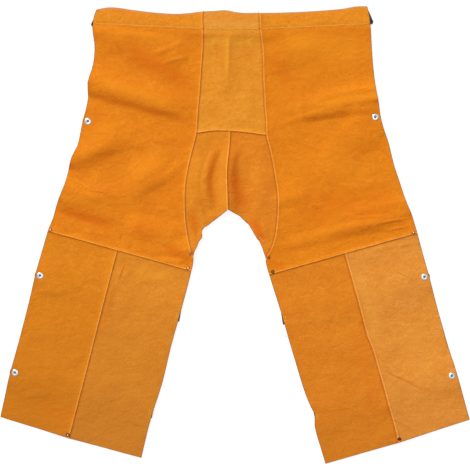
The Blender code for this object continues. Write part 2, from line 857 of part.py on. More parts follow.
def strap_walls(strap):
    """Webbing under one leg, from inside the tab's overlap to the sewn end."""
    stud, end, way = strap_ends(strap)
    start = TAB_LENGTH - STRAP_WIDTH / 2 - TAB_OVERLAP
    length = (end - stud).length
    half = STRAP_WIDTH / 2
    rows = [(start, 0.0, half, 0.0), (length / 2, 0.0, half, 0.0), (length, strap.skew, half, 0.0)]
    return strip_walls(stud, way, rows)


def tab_walls(strap):
    """Leather tab with a round end about the stud, lying on the webbing's end."""
    stud, _, way = strap_ends(strap)
    half = STRAP_WIDTH / 2
    rows = []
    for step in range(TAB_END_STEPS):
        angle = math.pi / 2 * (step + TAB_FIRST_STEP) / (TAB_END_STEPS - 1 + TAB_FIRST_STEP)
        rows.append((-half * math.cos(angle), 0.0, half * math.sin(angle), TAB_LOW))
    rows.append((half * 2, 0.0, half, TAB_LOW))
    rows.append((TAB_LENGTH - half, 0.0, half, TAB_LOW))
    walls = strip_walls(stud, way, rows)
    return [[(inner, inner + Vector((0.0, 0.0, LEATHER))) for inner, _ in line] for line in walls]


BeltStation = namedtuple("BeltStation", "upper_x lower_x z normal_x normal_z drop")


def belt_run(start_x, end_x, height_at, normal_z, drop):
    """Stations of the belt along a straight run, both ends included."""
    count = max(1, round(abs(end_x - start_x) / BELT_STEP))
    stations = []
    for step in range(count + 1):
        x = start_x + (end_x - start_x) * step / count
        stations.append(BeltStation(x, x, height_at(x), 0.0, normal_z, drop))
    return stations


def belt_turn(turn, start_angle, end_angle, start_drop, end_drop):
    """Stations of the belt round one end of the casing."""
    centre_z = (REAR_RUN_MIDDLE + FRONT_RUN_MIDDLE) / 2
    radius = (FRONT_RUN_MIDDLE - REAR_RUN_MIDDLE) / 2
    stations = []
    for step in range(BELT_TURN_STEPS + 1):
        share = step / BELT_TURN_STEPS
        angle = start_angle + (end_angle - start_angle) * share
        reach, rise = math.cos(angle), math.sin(angle)
        stations.append(BeltStation(
            turn.upper_x + radius * reach, turn.lower_x + radius * reach, centre_z + radius * rise,
            reach, rise, start_drop + (end_drop - start_drop) * share,
        ))
    return stations


def belt_walls():
    """Webbing belt: rear run, turn, run through the casing, turn, and rear run to the buckle."""
    line = Edge(BELT_LINE)
    quarter = math.pi / 2
    grip = BUCKLE_LENGTH / 2 - BUCKLE_SLOT
    mouth = BUCKLE_LENGTH / 2 + BUCKLE_MOUTH_ROOM

    def rear_height(x):
        away = (abs(x - BUCKLE_X) - mouth) / BELT_CLIMB
        return REAR_RUN_MIDDLE + (BUCKLE_HEIGHT / 2 - REAR_RUN_MIDDLE) * (1 - smooth_step(away))

    def front_height(x):
        return FRONT_RUN_MIDDLE + buckle_lift(x)

    def in_buckle(places):
        return [BeltStation(x, x, rear_height(x), 0.0, -1.0, BELT_REAR_DROP) for x in places]

    left_start, right_start = LEFT_TURN.upper_x + TURN_ROOM, RIGHT_TURN.upper_x - TURN_ROOM
    near_left, near_right = BUCKLE_X - mouth - BELT_CLIMB, BUCKLE_X + mouth + BELT_CLIMB
    stations = in_buckle((BUCKLE_X - grip, BUCKLE_X - mouth))
    stations += belt_run(near_left, left_start, rear_height, -1.0, BELT_REAR_DROP)
    stations += belt_turn(LEFT_TURN, -quarter, -3 * quarter, BELT_REAR_DROP, 0.0)
    stations += belt_run(left_start, right_start, front_height, 1.0, 0.0)
    stations += belt_turn(RIGHT_TURN, quarter, -quarter, 0.0, BELT_REAR_DROP)
    stations += belt_run(right_start, near_right, rear_height, -1.0, BELT_REAR_DROP)
    stations += in_buckle((BUCKLE_X + mouth, BUCKLE_X + grip))
    walls = []
    for station in stations:
        points = []
        for share in (0.0, 1.0):
            x = station.upper_x + (station.lower_x - station.upper_x) * share
            at_buckle = station.normal_z == -1.0 and abs(x - BUCKLE_X) < mouth + BUCKLE_LEVEL_ROOM
            y = line.y_at_x(BUCKLE_X if at_buckle else x) - station.drop - BELT_WIDTH * share
            normal = Vector((station.normal_x, 0.0, station.normal_z)) * (WEBBING / 2)
            centre = Vector((x, y, station.z))
            points.append((centre - normal, centre + normal))
        walls.append(points)
    return walls


def turned_piece(name, profile, steps, collection, material, closed):
    """A profile of radius and height turned about its own Z axis with a Screw modifier."""
    mesh = bpy.data.meshes.new(name)
    vertices = [(radius * MM, 0.0, height * MM) for radius, height in profile]
    edges = [(index, index + 1) for index in range(len(profile) - 1)]
    if closed:
        edges.append((len(profile) - 1, 0))
    mesh.from_pydata(vertices, edges, [])
    piece = add_object(name, mesh, collection, material)
    screw = piece.modifiers.new("turn", "SCREW")
    screw.steps = steps
    screw.render_steps = steps
    screw.use_merge_vertices = True
    screw.merge_threshold = 0.00001
    screw.use_smooth_shade = True
    return piece


def tree_of(piece):
    """Ray tree of a piece's own mesh."""
    shape = bmesh.new()
    shape.from_mesh(piece.data)
    tree = BVHTree.FromBMesh(shape)
    shape.free()
    return tree


def leather_span(tree, x, y, radius):
    """Lowest underside and highest top of a panel around a place, in millimetres."""
    lows, highs = [], []
    spots = [Vector((x, y, 0.0))]
    for step in range(SEAT_RAYS):
        angle = math.tau * step / SEAT_RAYS
        spots.append(Vector((x + radius * math.cos(angle), y + radius * math.sin(angle), 0.0)))
    up = Vector((0.0, 0.0, 1.0))
    for spot in spots:
        above = tree.ray_cast((spot + up * RAY_START) * MM, -up)[0]
        below = tree.ray_cast((spot - up * RAY_START) * MM, up)[0]
        if above and below:
            highs.append(above.z / MM)
            lows.append(below.z / MM)
    return min(lows), max(highs)


def stud_profile(seat):
    """Ring stud: foot under the tab, hollow shank, and a round ring on the leather."""
    head_radius = (STUD_RADIUS - STUD_HOLE) / 2
    head_centre = (STUD_RADIUS + STUD_HOLE) / 2
    profile = [
        (STUD_HOLE, 0.0),
        (STUD_HOLE, seat + STUD_HEAD * RING_INNER_RIM),
    ]
    for step in range(1, RING_STEPS):
        angle = math.pi - math.pi * step / RING_STEPS
        profile.append((
            head_centre + head_radius * math.cos(angle),
            seat + STUD_HEAD * (RING_MIDDLE + (1 - RING_MIDDLE) * math.sin(angle)),
        ))
    profile += [
        (STUD_RADIUS, seat + STUD_HEAD * RING_OUTER_RIM),
        (STUD_RADIUS - RING_CHAMFER, seat),
        (STUD_SHANK, seat),
        (STUD_SHANK, TAB_LOW - GAP),
        (STUD_FOOT, TAB_LOW - GAP),
        (STUD_FOOT, 0.0),
    ]
    return profile


def rivet_profile(foot_top, seat):
    """Seam rivet: foot under the leather, solid shank and a low domed head."""
    profile = []
    for point in RIVET_DOME:
        profile.append((RIVET_RADIUS * point.radius_share, seat + RIVET_HEAD * point.height_share))
    return profile + [
        (RIVET_SHANK, seat),
        (RIVET_SHANK, foot_top),
        (RIVET_FOOT, foot_top),
        (RIVET_FOOT, foot_top - FOOT_HEIGHT),
        (0.0, foot_top - FOOT_HEIGHT),
    ]


def cut_with(piece, cutter):
    """Take a hidden cutter's shape out of a piece."""
    cutter.hide_render = True
    cutter.display_type = "WIRE"
    cut = piece.modifiers.new(cutter.name, "BOOLEAN")
    cut.operation = "DIFFERENCE"
    cut.object = cutter


def punch(piece, cutters, name, x, y, radius):
    """Cut a round hole for a shank through a piece."""
    mesh = bpy.data.meshes.new(f"{name}_punch")
    shape = bmesh.new()
    bmesh.ops.create_cone(shape, cap_ends=True, segments=PUNCH_STEPS, radius1=radius * MM,
                          radius2=radius * MM, depth=PUNCH_DEPTH * MM)
    shape.to_mesh(mesh)
    shape.free()
    cutter = add_object(f"{name}_punch", mesh, cutters)
    cutter.location = (x * MM, y * MM, 0.0)
    cut_with(piece, cutter)


def block_mesh(name, length, width, height):
    """A box mesh about its own middle."""
    shape = bmesh.new()
    bmesh.ops.create_cube(shape, size=1.0)
    bmesh.ops.scale(shape, vec=(length * MM, width * MM, height * MM), verts=shape.verts)
    mesh = bpy.data.meshes.new(name)
    shape.to_mesh(mesh)
    shape.free()
    return mesh


def add_buckle(collection, cutters, material):
    """A plain closed buckle with a slot at each end for the webbing."""
    centre_y = Edge(BELT_LINE).y_at_x(BUCKLE_X) - BELT_REAR_DROP - BELT_WIDTH / 2
    body = block_mesh("belt_buckle", BUCKLE_LENGTH, BUCKLE_WIDTH, BUCKLE_HEIGHT)
    buckle = add_object("belt_buckle", body, collection, material)
    buckle.location = (BUCKLE_X * MM, centre_y * MM, BUCKLE_HEIGHT / 2 * MM)
    bevel = buckle.modifiers.new("rounded", "BEVEL")
    bevel.width = BUCKLE_ROUNDING * MM
    bevel.segments = BUCKLE_ROUNDING_STEPS
    for name, side in (("buckle_slot_left", -1), ("buckle_slot_right", 1)):
        slot = add_object(name, block_mesh(
            name, 2 * BUCKLE_SLOT + BUCKLE_SLOT_ROOM, BELT_WIDTH + BUCKLE_SLOT_ROOM, WEBBING + 2 * GAP,
        ), cutters)
        slot.location = ((BUCKLE_X + side * BUCKLE_LENGTH / 2) * MM, centre_y * MM,
                         BUCKLE_HEIGHT / 2 * MM)
        cut_with(buckle, slot)


def add_strap(strap, panel, apron, cutters, materials):
    """The webbing, leather tab and ring stud of one leg strap."""
    name = strap.name
    add_object(f"strap_{name}", wall_mesh(f"strap_{name}", strap_walls(strap)), apron,
               materials["webbing_black"])
    tab = add_object(f"tab_{name}", wall_mesh(f"tab_{name}", tab_walls(strap)), apron,
                     materials["leather_thigh"])
    _, top = leather_span(tree_of(panel), strap.stud_x, strap.stud_y, STUD_RADIUS)
    stud = turned_piece(f"stud_{name}", stud_profile(top + GAP), STUD_STEPS, apron,
                        materials["steel_ring"], closed=True)
    stud.location = (strap.stud_x * MM, strap.stud_y * MM, 0.0)
    for piece in (panel, tab):
        punch(piece, cutters, f"stud_{name}_{piece.name}", strap.stud_x, strap.stud_y, STUD_SHANK + GAP)


def add_rivet(rivet, panel, apron, cutters, materials):
    """One seam rivet, seated on the leather that it goes through."""
    low, top = leather_span(tree_of(panel), rivet.x, rivet.y, RIVET_RADIUS)
    piece = turned_piece(f"rivet_{rivet.name}", rivet_profile(low - GAP, top + GAP), RIVET_STEPS,
                         apron, materials["steel_ring"], closed=False)
    piece.location = (rivet.x * MM, rivet.y * MM, 0.0)
    punch(panel, cutters, f"rivet_{rivet.name}", rivet.x, rivet.y, RIVET_SHANK + GAP)


def main():
    """Build every piece of the apron."""
    for item in list(bpy.data.objects):
        bpy.data.objects.remove(item, do_unlink=True)
    apron = new_collection("split_leg_apron")
    cutters = new_collection("cutters")
    materials = {name: make_material(name, finish) for name, finish in FINISHES.items()}

    pieces = {}
    for name, walls in panel_walls().items():
        material = materials[f"leather_{PANEL_LEATHERS[name.split('_')[0]]}"]
        pieces[name] = add_object(name, wall_mesh(name, walls), apron, material)
    add_object("belt_webbing", wall_mesh("belt_webbing", belt_walls()), apron,
               materials["webbing_black"])
    add_buckle(apron, cutters, materials["plastic_black"])
    for strap in STRAPS:
        place, side = strap.name.split("_")
        add_strap(strap, pieces[f"{STUD_PANELS[place]}_{side}"], apron, cutters, materials)
    for rivet in RIVETS:
        add_rivet(rivet, pieces[rivet.panel], apron, cutters, materials)


main()
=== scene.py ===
"""The looks of a split-leg welding apron of split cowhide, laid out flat.

Leather shells, webbing, ring studs, rivets and sewing are built around the apron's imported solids.
Plan places are millimetres from the middle of the garment, +X right and +Y towards the waist.
"""

import math
from collections import namedtuple
from contextlib import contextmanager

import bmesh
import bpy
import numpy as np
from bpy.props import FloatProperty, FloatVectorProperty, IntProperty, PointerProperty
from bpy.types import Operator, Panel, PropertyGroup
from mathutils import Matrix, Vector, noise
from mathutils.bvhtree import BVHTree
from mathutils.kdtree import KDTree


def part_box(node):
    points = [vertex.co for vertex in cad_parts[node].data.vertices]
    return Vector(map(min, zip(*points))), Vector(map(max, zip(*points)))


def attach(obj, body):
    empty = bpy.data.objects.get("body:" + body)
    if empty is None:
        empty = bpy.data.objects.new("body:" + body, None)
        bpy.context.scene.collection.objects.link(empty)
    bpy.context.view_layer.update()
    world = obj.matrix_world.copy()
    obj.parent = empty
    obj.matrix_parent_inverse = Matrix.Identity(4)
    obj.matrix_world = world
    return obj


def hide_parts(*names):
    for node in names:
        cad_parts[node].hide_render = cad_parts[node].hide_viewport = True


bl_info = {
    "name": "Split-leg welding apron",
    "version": (1, 0, 0),
    "blender": (4, 5, 0),
    "location": "3D View > Sidebar > Apron",
    "description": "Builds a laid-out leather welding apron around its solids",
    "category": "Object",
}

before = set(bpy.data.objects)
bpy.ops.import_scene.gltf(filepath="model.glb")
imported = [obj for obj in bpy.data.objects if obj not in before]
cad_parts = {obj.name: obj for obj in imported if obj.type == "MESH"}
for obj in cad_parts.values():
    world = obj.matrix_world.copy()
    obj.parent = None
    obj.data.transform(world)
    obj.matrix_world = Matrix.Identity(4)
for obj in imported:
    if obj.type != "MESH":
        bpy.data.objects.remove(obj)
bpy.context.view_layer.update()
BODY = "root"

MM = 0.001
WELD = 0.00001
SHARP = math.radians(60)
SMOOTH = math.radians(38)
FACING_UP = 0.7
SKY = 1.0
UP = Vector((0.0, 0.0, 1.0))


def rows(columns, *table):
    """A table's rows with named columns."""
    return tuple(columns(*row) for row in table)


# Panels: the solid each stands for, its slot, what its turned seam edges lie over, and its cut in metres
Cut = namedtuple("Cut", "node slot over width length area")
PANELS = rows(
    Cut,
    ("thigh_panel_left", "suede_thigh", ("front_yoke", "gore_left", "shin_outer_left", "shin_inner_left"),
     0.330, 0.580, 0.150),
    ("thigh_panel_right", "suede_thigh", ("front_yoke", "gore_right", "shin_outer_right", "shin_inner_right"),
     0.340, 0.610, 0.154),
    ("front_yoke", "suede_yoke", ("gore_left", "gore_right"), 0.150, 0.310, 0.042),
    ("gore_left", "suede_yoke", ("gore_right",), 0.095, 0.290, 0.020),
    ("gore_right", "suede_yoke", (), 0.115, 0.300, 0.023),
    ("shin_outer_left", "suede_shin", ("shin_inner_left",), 0.168, 0.432, 0.070),
    ("shin_inner_left", "suede_shin", (), 0.172, 0.432, 0.071),
    ("shin_outer_right", "suede_shin", ("shin_inner_right",), 0.168, 0.432, 0.070),
    ("shin_inner_right", "suede_shin", (), 0.182, 0.442, 0.076),
)

# Seams: how near counts as sewn, and how far an under edge is found and tucked in
SEAM_REACH = 1.2 * MM
SEAM_SEARCH = 9.0 * MM
SEAM_TUCK = 0.8 * MM
TUCK_REACH = 2.5 * MM
# Outline of a panel: the bend that counts as a corner, the crease of the others, and rows beside the edge
OUTLINE_CORNER = math.radians(9)
GENTLE_CREASE = 0.6
EDGE_ROWS = 3

# The waist hem's stitch line, left to right, and how far its runs stop short of their ends
Place = namedtuple("Place", "x y")
WAIST_STITCH = rows(Place, (-312, 464.5), (-71, 453), (54.5, 452.5), (296, 463.7))
STITCH_INSET = Vector((3.0, 0.0)) * MM
# The stitches across the hem's left end, and a knot beside them
Run = namedtuple("Run", "x0 y0 x1 y1")
HEM_END = rows(Run, (-277, 495, -277.5, 468))
HEM_KNOT = rows(Run, (-296, 487, -288, 481), (-291, 488, -293, 480))

# Wrinkles of the leather: a soft ridge through three places, its rise and its half width.
# A rise below 0 is a trough.
Wrinkle = namedtuple("Wrinkle", "x0 y0 x1 y1 x2 y2 rise width")
WRINKLES = rows(
    Wrinkle,
    # Crests of the left thigh's folds
    (-300, 432, -208, 386, -104, 322, 2.6, 28), (-385, 330, -235, 292, -62, 248, 1.1, 16),
    (-425, 78, -320, 52, -240, 36, 2.8, 22), (-400, 150, -320, 198, -215, 222, -2.6, 28),
    (-250, 30, -180, 10, -108, -4, 4.4, 34), (-230, 92, -150, 128, -112, 172, 1.2, 16),
    # Crests of the right thigh's folds
    (140, 256, 230, 271, 345, 281, 2.6, 16), (180, 288, 250, 302, 345, 314, -2.0, 16),
    (200, 14, 300, 42, 410, 66, -1.6, 18), (62, -42, 225, 6, 402, 34, 2.1, 21),
    (72, 60, 120, 80, 168, 88, 2.0, 22),
    # Gores
    (-25, 217, -63, 121, -40, 48, 3.0, 14), (5, 200, -10, 120, 6, 36, 2.6, 17),
    (-79, 66, -70, 44, -62, 15, 1.2, 9), (59, 29, 68, 7, 73, -20, 1.2, 8), (51, 77, 46, 51, 51, 22, 1.0, 10),
    # Front yoke
    (-13, 440, -14, 400, -16, 340, 0.9, 7), (-46, 436, -44, 407, -39, 376, 1.2, 8),
    (29, 433, 33, 411, 26, 385, 0.9, 14), (22, 350, 30, 300, 24, 262, 0.8, 16),
    # Left thigh
    (-187, 394, -147, 409, -108, 427, 1.1, 8), (-165, 372, -132, 385, -97, 392, 0.9, 7),
    (-253, 447, -209, 438, -154, 433, 1.0, 12), (-359, 121, -319, 101, -260, 97, 1.1, 6),
    (-354, 139, -332, 121, -315, 103, 0.9, 5), (-341, 4, -315, 7, -288, 2, 0.9, 6),
    (-172, -51, -139, -57, -106, -57, 1.4, 9), (-231, 187, -187, 207, -125, 209, 0.9, 14),
    # Right thigh
    (147, 348, 145, 297, 150, 242, 0.9, 9), (224, 121, 271, 86, 319, 48, 0.9, 4),
    (165, 70, 178, 64, 194, 64, 0.8, 5), (169, 143, 191, 125, 209, 117, 0.6, 6),
    (257, 37, 301, 40, 337, 42, 0.8, 5), (310, 24, 345, 31, 381, 37, 0.9, 5),
    (330, 8, 359, 15, 385, 18, 0.8, 5), (99, 242, 143, 257, 187, 268, 1.0, 10),
    # Left shin
    (-244, -62, -264, -121, -286, -183, 1.1, 4), (-229, -73, -246, -99, -262, -125, 0.9, 4),
    (-444, -125, -407, -125, -367, -130, 0.9, 12), (-385, -288, -352, -271, -323, -253, 0.7, 12),
    (-231, -110, -187, -99, -139, -92, 0.8, 14), (-300, -330, -230, -318, -170, -330, 0.7, 16),
    (-470, -360, -430, -350, -380, -362, 0.7, 13),
    # Right shin
    (348, -306, 372, -315, 398, -330, 1.0, 5), (354, -407, 372, -420, 398, -436, 1.1, 5),
    (301, -34, 352, -24, 400, -17, 0.9, 5), (363, -88, 378, -97, 394, -106, 0.8, 5),
    (262, -143, 275, -209, 293, -297, 0.8, 14), (143, -121, 156, -143, 183, -183, 0.6, 8),
    (190, -300, 240, -310, 290, -300, 0.7, 18), (400, -230, 430, -222, 452, -226, 0.7, 12),
)
BAND_STEPS = 9
BAND_TAPER = 0.27

# Painted light and shade of the hide in soft bands through three places: below 0 painted shade, darker and
# redder, mostly on the shaded slopes of folds; above 0 painted light, paler, mostly on lit crests
PaintedShading = namedtuple("PaintedShading", "x0 y0 x1 y1 x2 y2 shade width")
PAINTED_SHADING = rows(
    PaintedShading,
    # Left thigh
    (-256, 414, -165, 367, -82, 314, -0.65, 30), (-365, 322, -225, 284, -72, 244, -0.55, 9),
    (-330, 345, -213, 311, -118, 276, 0.50, 18), (-372, 128, -316, 156, -244, 196, -0.25, 16),
    (-356, 186, -285, 226, -225, 262, 0.25, 20), (-396, 62, -330, 38, -258, 20, -0.85, 16),
    (-400, 92, -330, 72, -262, 64, 0.40, 16), (-112, 150, -150, 92, -240, 40, -0.30, 16),
    (-165, -22, -120, -45, -84, -66, -0.60, 18), (-240, 8, -196, 14, -150, 6, -0.30, 20),
    (-250, 140, -200, 150, -150, 190, 0.35, 30), (-300, 440, -190, 434, -80, 428, 0.35, 16),
    # Right thigh
    (140, 250, 230, 266, 330, 278, -0.30, 9), (140, 272, 250, 297, 345, 308, 0.50, 13),
    (76, 392, 104, 362, 128, 320, -0.40, 26), (150, -38, 290, 2, 412, 26, -0.15, 17),
    (70, -36, 84, -62, 124, -78, -0.50, 15), (90, 430, 200, 410, 310, 430, 0.70, 55),
    (110, 70, 250, 60, 380, 80, -0.40, 60), (180, 180, 240, 150, 320, 110, 0.30, 50),
    # Front yoke
    (-17, 446, -17, 390, -20, 325, 0.55, 6), (-30, 440, -30, 400, -26, 350, -0.35, 7),
    (20, 440, 24, 408, 20, 372, -0.35, 13), (-95, 478, -10, 480, 78, 478, -0.42, 24),
    (-90, 428, -8, 426, 72, 428, 0.50, 16),
    # Gores
    (-22, 216, -55, 124, -34, 58, -0.85, 15), (13, 190, -3, 146, 0, 96, -0.80, 8),
    (-6, 146, 6, 96, 24, 48, -1.00, 21), (-22, 196, -32, 130, -24, 66, 0.35, 9),
    (30, 38, 50, 12, 62, -26, -0.95, 15), (-98, 60, -90, 24, -82, -12, -0.90, 14),
    (24, 205, 44, 150, 50, 90, 0.30, 20),
    # Shins
    (-232, -72, -182, -84, -130, -94, 0.50, 20), (-430, -370, -385, -392, -340, -410, -0.30, 34),
    (-262, -96, -280, -160, -300, -230, -0.30, 12), (262, -190, 292, -310, 326, -436, -0.30, 24),
    (258, -60, 290, -150, 320, -244, 0.40, 24), (370, -180, 400, -250, 430, -330, 0.25, 36),
    (322, -298, 390, -325, 462, -360, -0.30, 4), (352, -402, 374, -418, 400, -440, -0.35, 4),
)

# How far each hide's dye pattern is moved from the last one's, and the tabs' own
PATTERN_STEP = 1.7
TAB_PATTERN = 20.3

# Finer creases in a panel's surface, too narrow for its mesh: straight lines, by panel, shown by painted
# shade along each line and a small bump
Crease = namedtuple("Crease", "x0 y0 x1 y1 width")
CREASES = {
    "shin_inner_left": rows(
        Crease, (-239, -58, -257, -105, 2.4), (-254, -98, -287, -180, 2.2), (-260, -100, -276, -142, 2.0)),
    "shin_outer_right": rows(
        Crease, (346, -76, 402, -107, 2.0), (320, -294, 382, -326, 2.2),
        (372, -321, 424, -347, 1.8), (342, -404, 399, -432, 2.6)),
    "thigh_left": rows(
        Crease, (-247, 4, -254, -14, 2.6), (-366, 122, -322, 103, 2.0), (-330, 105, -262, 96, 2.0)),
}

# Raggedness of the cut edge: a place on it, how far it is pushed in plan, and the reach of the push
Nudge = namedtuple("Nudge", "x y dx dy reach")
NUDGES = rows(
    Nudge, (-65, 9, -4.0, 3.0, 13), (-76, -5, 3.0, -0.5, 10), (57, -13, 2.0, 1.5, 10),
    (-90, -36, -1.5, 0.5, 12))

# Slow unevenness of the hide where it lies on the floor, and the share of it that is level
Swell = namedtuple("Swell", "wave rise seed")
SWELLS = rows(Swell, (95.0, 1.6, 3.0), (38.0, 0.8, 11.0), (16.0, 0.3, 23.0))
SWELL_LEVEL = 0.25
# The casing: it swells less, its stitches draw the hide down, and a low fold runs along its foot
CASING_SWELL_SHARE = 0.45
CASING_FADE = 26.0
STITCH_DIP = 0.3
STITCH_DIP_REACH = 6.0
CASING_FOOT = 2.3
CASING_FOOT_RISE = 24.0
CASING_FOOT_FLAT = 14.0
CASING_FOOT_FALL = 50.0

# Where a panel's marks lie: flat up to the first distance, and faded out over the second
Mark = namedtuple("Mark", "flat fade")
# Painted highlight on turned seam edges that lie over a neighbour
OVER_MARK = Mark(2.2, 1.6)
# Painted shade, with some dirt, beside seam edges sunk under a neighbour
UNDER_MARK = Mark(1.9, 2.0)
# Painted highlight along the waist stitches
SEWN_MARK = Mark(0.8, 2.4)
SEWN_STRENGTH = 0.7
RIM_MARK = Mark(0.7, 1.2)
# Painted shade along the waist fold's top edge
WAIST_MARK = Mark(1.0, 4.5)
WAIST_FOLD_ABOVE = 6.0
HEM_BLEND = 6.0
EDGE_COLUMN = 4.0 * MM

# Leg straps: the panel that each is studded to, and the one that its other end is sewn to
LegStrap = namedtuple("LegStrap", "name studded sewn")
LEG_STRAPS = rows(
    LegStrap,
    ("thigh_left", "thigh_panel_left", "gore_left"), ("thigh_right", "thigh_panel_right", "gore_right"),
    ("knee_left", "shin_outer_left", "shin_inner_left"),
    ("knee_right", "shin_outer_right", "shin_inner_right"),
    ("ankle_left", "shin_outer_left", "shin_inner_left"),
    ("ankle_right", "shin_outer_right", "shin_inner_right"),
)
# How far the thigh straps' sewn ends lie inside the edge, and how a strap thins at its selvedges
STRAP_TUCK = 7.0
SELVEDGE = 0.18 * MM
SELVEDGE_SHARE = 0.2
# A strap's two rows of stitches: how far in from its end, and the share of its width left free at each side
STRAP_STITCHES = (4.5, 8.0)
STRAP_MARGIN = 0.2
BELT_LEVELS = 2

# Seam rivets: the panel that each is seated on, and how its middle and rim have worn; a bright middle is a
# painted highlight
RivetLook = namedtuple("RivetLook", "name panel middle rim")
RIVETS = rows(
    RivetLook,
    ("knee_outer_left", "thigh_panel_left", "bright", "brown"),
    ("knee_inner_left", "thigh_panel_left", "bright", "brown"),
    ("gore_left", "thigh_panel_left", "pale", "pale"),
    ("hem_left", "shin_outer_left", "bright", "dark"),
    ("knee_outer_right", "thigh_panel_right", "bright", "brown"),
    ("knee_inner_right", "thigh_panel_right", "pale", "dark"),
    ("gore_right", "thigh_panel_right", "dark", "brown"),
    ("hem_right", "shin_outer_right", "dark", "dark"),
)

# Fittings from the middle of the head to the middle of the foot: the head's heights are over the leather,
# with its rim last but one, and the foot's are over its own base. A middle is the radius of a second finish.
Turn = namedtuple("Turn", "radius height")
STUD_HEAD = rows(
    Turn, (0.0, 0.1), (2.4, 0.0), (2.6, 0.15), (2.7, 0.75), (3.05, 1.35), (3.6, 1.62), (4.6, 1.55),
    (5.8, 1.2), (6.8, 0.85), (7.35, 0.5), (7.5, 0.2), (7.2, 0.0), (3.8, 0.0))
STUD_FOOT = rows(Turn, (3.8, 1.4), (6.3, 1.4), (6.5, 1.2), (6.5, 0.15), (6.3, 0.0), (0.0, 0.0))
STUD_MIDDLE = 2.75
RIVET_HEAD = rows(
    Turn, (0.0, 0.5), (0.7, 0.5), (0.9, 0.95), (1.5, 1.12), (2.2, 1.18), (3.0, 0.95), (3.6, 0.55),
    (3.95, 0.15), (3.9, 0.0), (1.5, 0.0))
RIVET_FOOT = rows(Turn, (1.5, 0.8), (3.2, 0.8), (3.4, 0.6), (3.4, 0.1), (3.2, 0.0), (0.0, 0.0))
RIVET_MIDDLE = 1.6

# The buckle's slots, the grooves beside its middle bar and the waists in its long sides
BUCKLE_ROUND = 1.0
BUCKLE_SLOT = Vector((9.5, 26.0, 2.0)) * MM
BUCKLE_SLOT_INSET = 4.25 * MM
GROOVE_WIDTH = 2.0 * MM
GROOVE_DEPTH = 1.4 * MM
GROOVE_SHARE = 0.62
GROOVE_PLACE = 7.0 * MM
WAIST_RADIUS = 9.0 * MM
WAIST_OUTSIDE = 6.6 * MM

# Stitches: how much thinner and lower their ends are, and how unevenly they lie
STITCH_THINNER = 0.45
STITCH_DRAWN = 1.1
STITCH_RAISED = 0.35
STITCH_WANDER = 0.35
STITCH_SPACING = 0.12
STITCH_TURN = 0.06

# Loose thread ends: where each leaves the leather, which way it points, and its length
ThreadEnd = namedtuple("ThreadEnd", "x y angle length")
THREAD_ENDS = rows(
    ThreadEnd, (-69, 489, 100, 5.5), (52, 486, 84, 6.0), (-181, -390, -20, 5.0), (115, -224, 165, 5.5),
    (192, -487, 195, 5.0), (-303, 465, 172, 5.0))
THREAD_HEIGHT = 2.2
LOOSE_RADIUS = 0.45 * MM

# The stage in metres, as it stands around the garment
FLOOR_SIZE = 8.0
FLOOR_DROP = 0.5 * MM
KEY_PLACE = Vector((-1.3, 2.0, 1.6))
KEY_SPREAD = math.radians(30)
TOP_HEIGHT = 3.2
TOP_SIZE = 2.6
SENSOR = 36.0

# Search trees of the finished leather panels, by node
leather = {}


def display(red, green, blue):
    """A colour as it looks on a screen, 0 to 255, as the shaders take it."""
    channels = []
    for value in (red, green, blue):
        share = value / 255
        channels.append(share / 12.92 if share <= 0.04045 else ((share + 0.055) / 1.055) ** 2.4)
    return tuple(channels)


def colour_setting(name, red, green, blue):
    """A colour that the user can change."""
    return FloatVectorProperty(name=name, subtype="COLOR", size=3, min=0.0, max=1.0,
                               default=display(red, green, blue))


def length_setting(name, millimetres):
    """A length that the user can change."""
    return FloatProperty(name=name, unit="LENGTH", min=0.0, default=millimetres * MM)


class ApronLeatherSettings(PropertyGroup):
    """Thickness, surface and dye of the split cowhide, and the colours of its painted highlights and painted
    shade.
    """

    thickness: length_setting("Thickness of the hide", 1.5)
    edge_round: length_setting("Rounding of the cut edges", 0.4)
    levels: IntProperty(name="Subdivision levels", default=3, min=1, max=3)
    nap: FloatProperty(name="Strength of the nap", default=0.35, min=0.0, max=1.0)
    mottle: FloatProperty(name="Strength of the uneven dye", default=0.5, min=0.0, max=1.0)
    thigh_left: colour_setting("Left thigh", 217, 131, 21)
    thigh_right: colour_setting("Right thigh", 216, 131, 20)
    yoke: colour_setting("Front yoke", 218, 146, 40)
    gore_left: colour_setting("Left gore", 212, 135, 31)
    gore_right: colour_setting("Right gore", 212, 130, 30)
    shin_outer_left: colour_setting("Left outer shin", 212, 133, 25)
    shin_inner_left: colour_setting("Left inner shin", 210, 137, 38)
    shin_outer_right: colour_setting("Right outer shin", 214, 144, 53)
    shin_inner_right: colour_setting("Right inner shin", 210, 130, 30)
    cut_edge: colour_setting("Raw edge of the hide", 132, 84, 46)
    # Painted shade along the turned top edge of the waist hem
    waist_edge_painted_shade: colour_setting("Painted shade at the waist fold's edge", 176, 136, 112)
    # Painted highlight on the turned edges of seams and along the waist stitches
    worn: colour_setting("Painted highlight on a seam's turned edge", 240, 176, 80)


class ApronSewingSettings(PropertyGroup):
    """Thread and stitches."""

    stitch: length_setting("Length of a stitch", 3.4)
    gap: length_setting("Gap between stitches", 0.9)
    radius: length_setting("Radius of the thread", 0.6)
    colour: colour_setting("Thread", 252, 188, 68)
    loose: colour_setting("Loose thread ends", 214, 186, 140)


class ApronHardwareSettings(PropertyGroup):
    """Studs, rivets and buckle."""

    steps: IntProperty(name="Sides of a turned piece", default=40, min=12, max=96)
    plate: colour_setting("Plating", 186, 186, 185)
    # Painted highlight on the middle of a rivet
    bright: colour_setting("Rivet's rubbed middle", 214, 184, 142)
    brown: colour_setting("Rivet worn to copper", 140, 84, 48)
    pale: colour_setting("Faded rivet", 176, 112, 72)
    dark: colour_setting("Tarnished rivet", 70, 34, 22)
    hollow: colour_setting("Inside a stud's middle", 122, 124, 130)
    plastic: colour_setting("Buckle", 24, 24, 26)


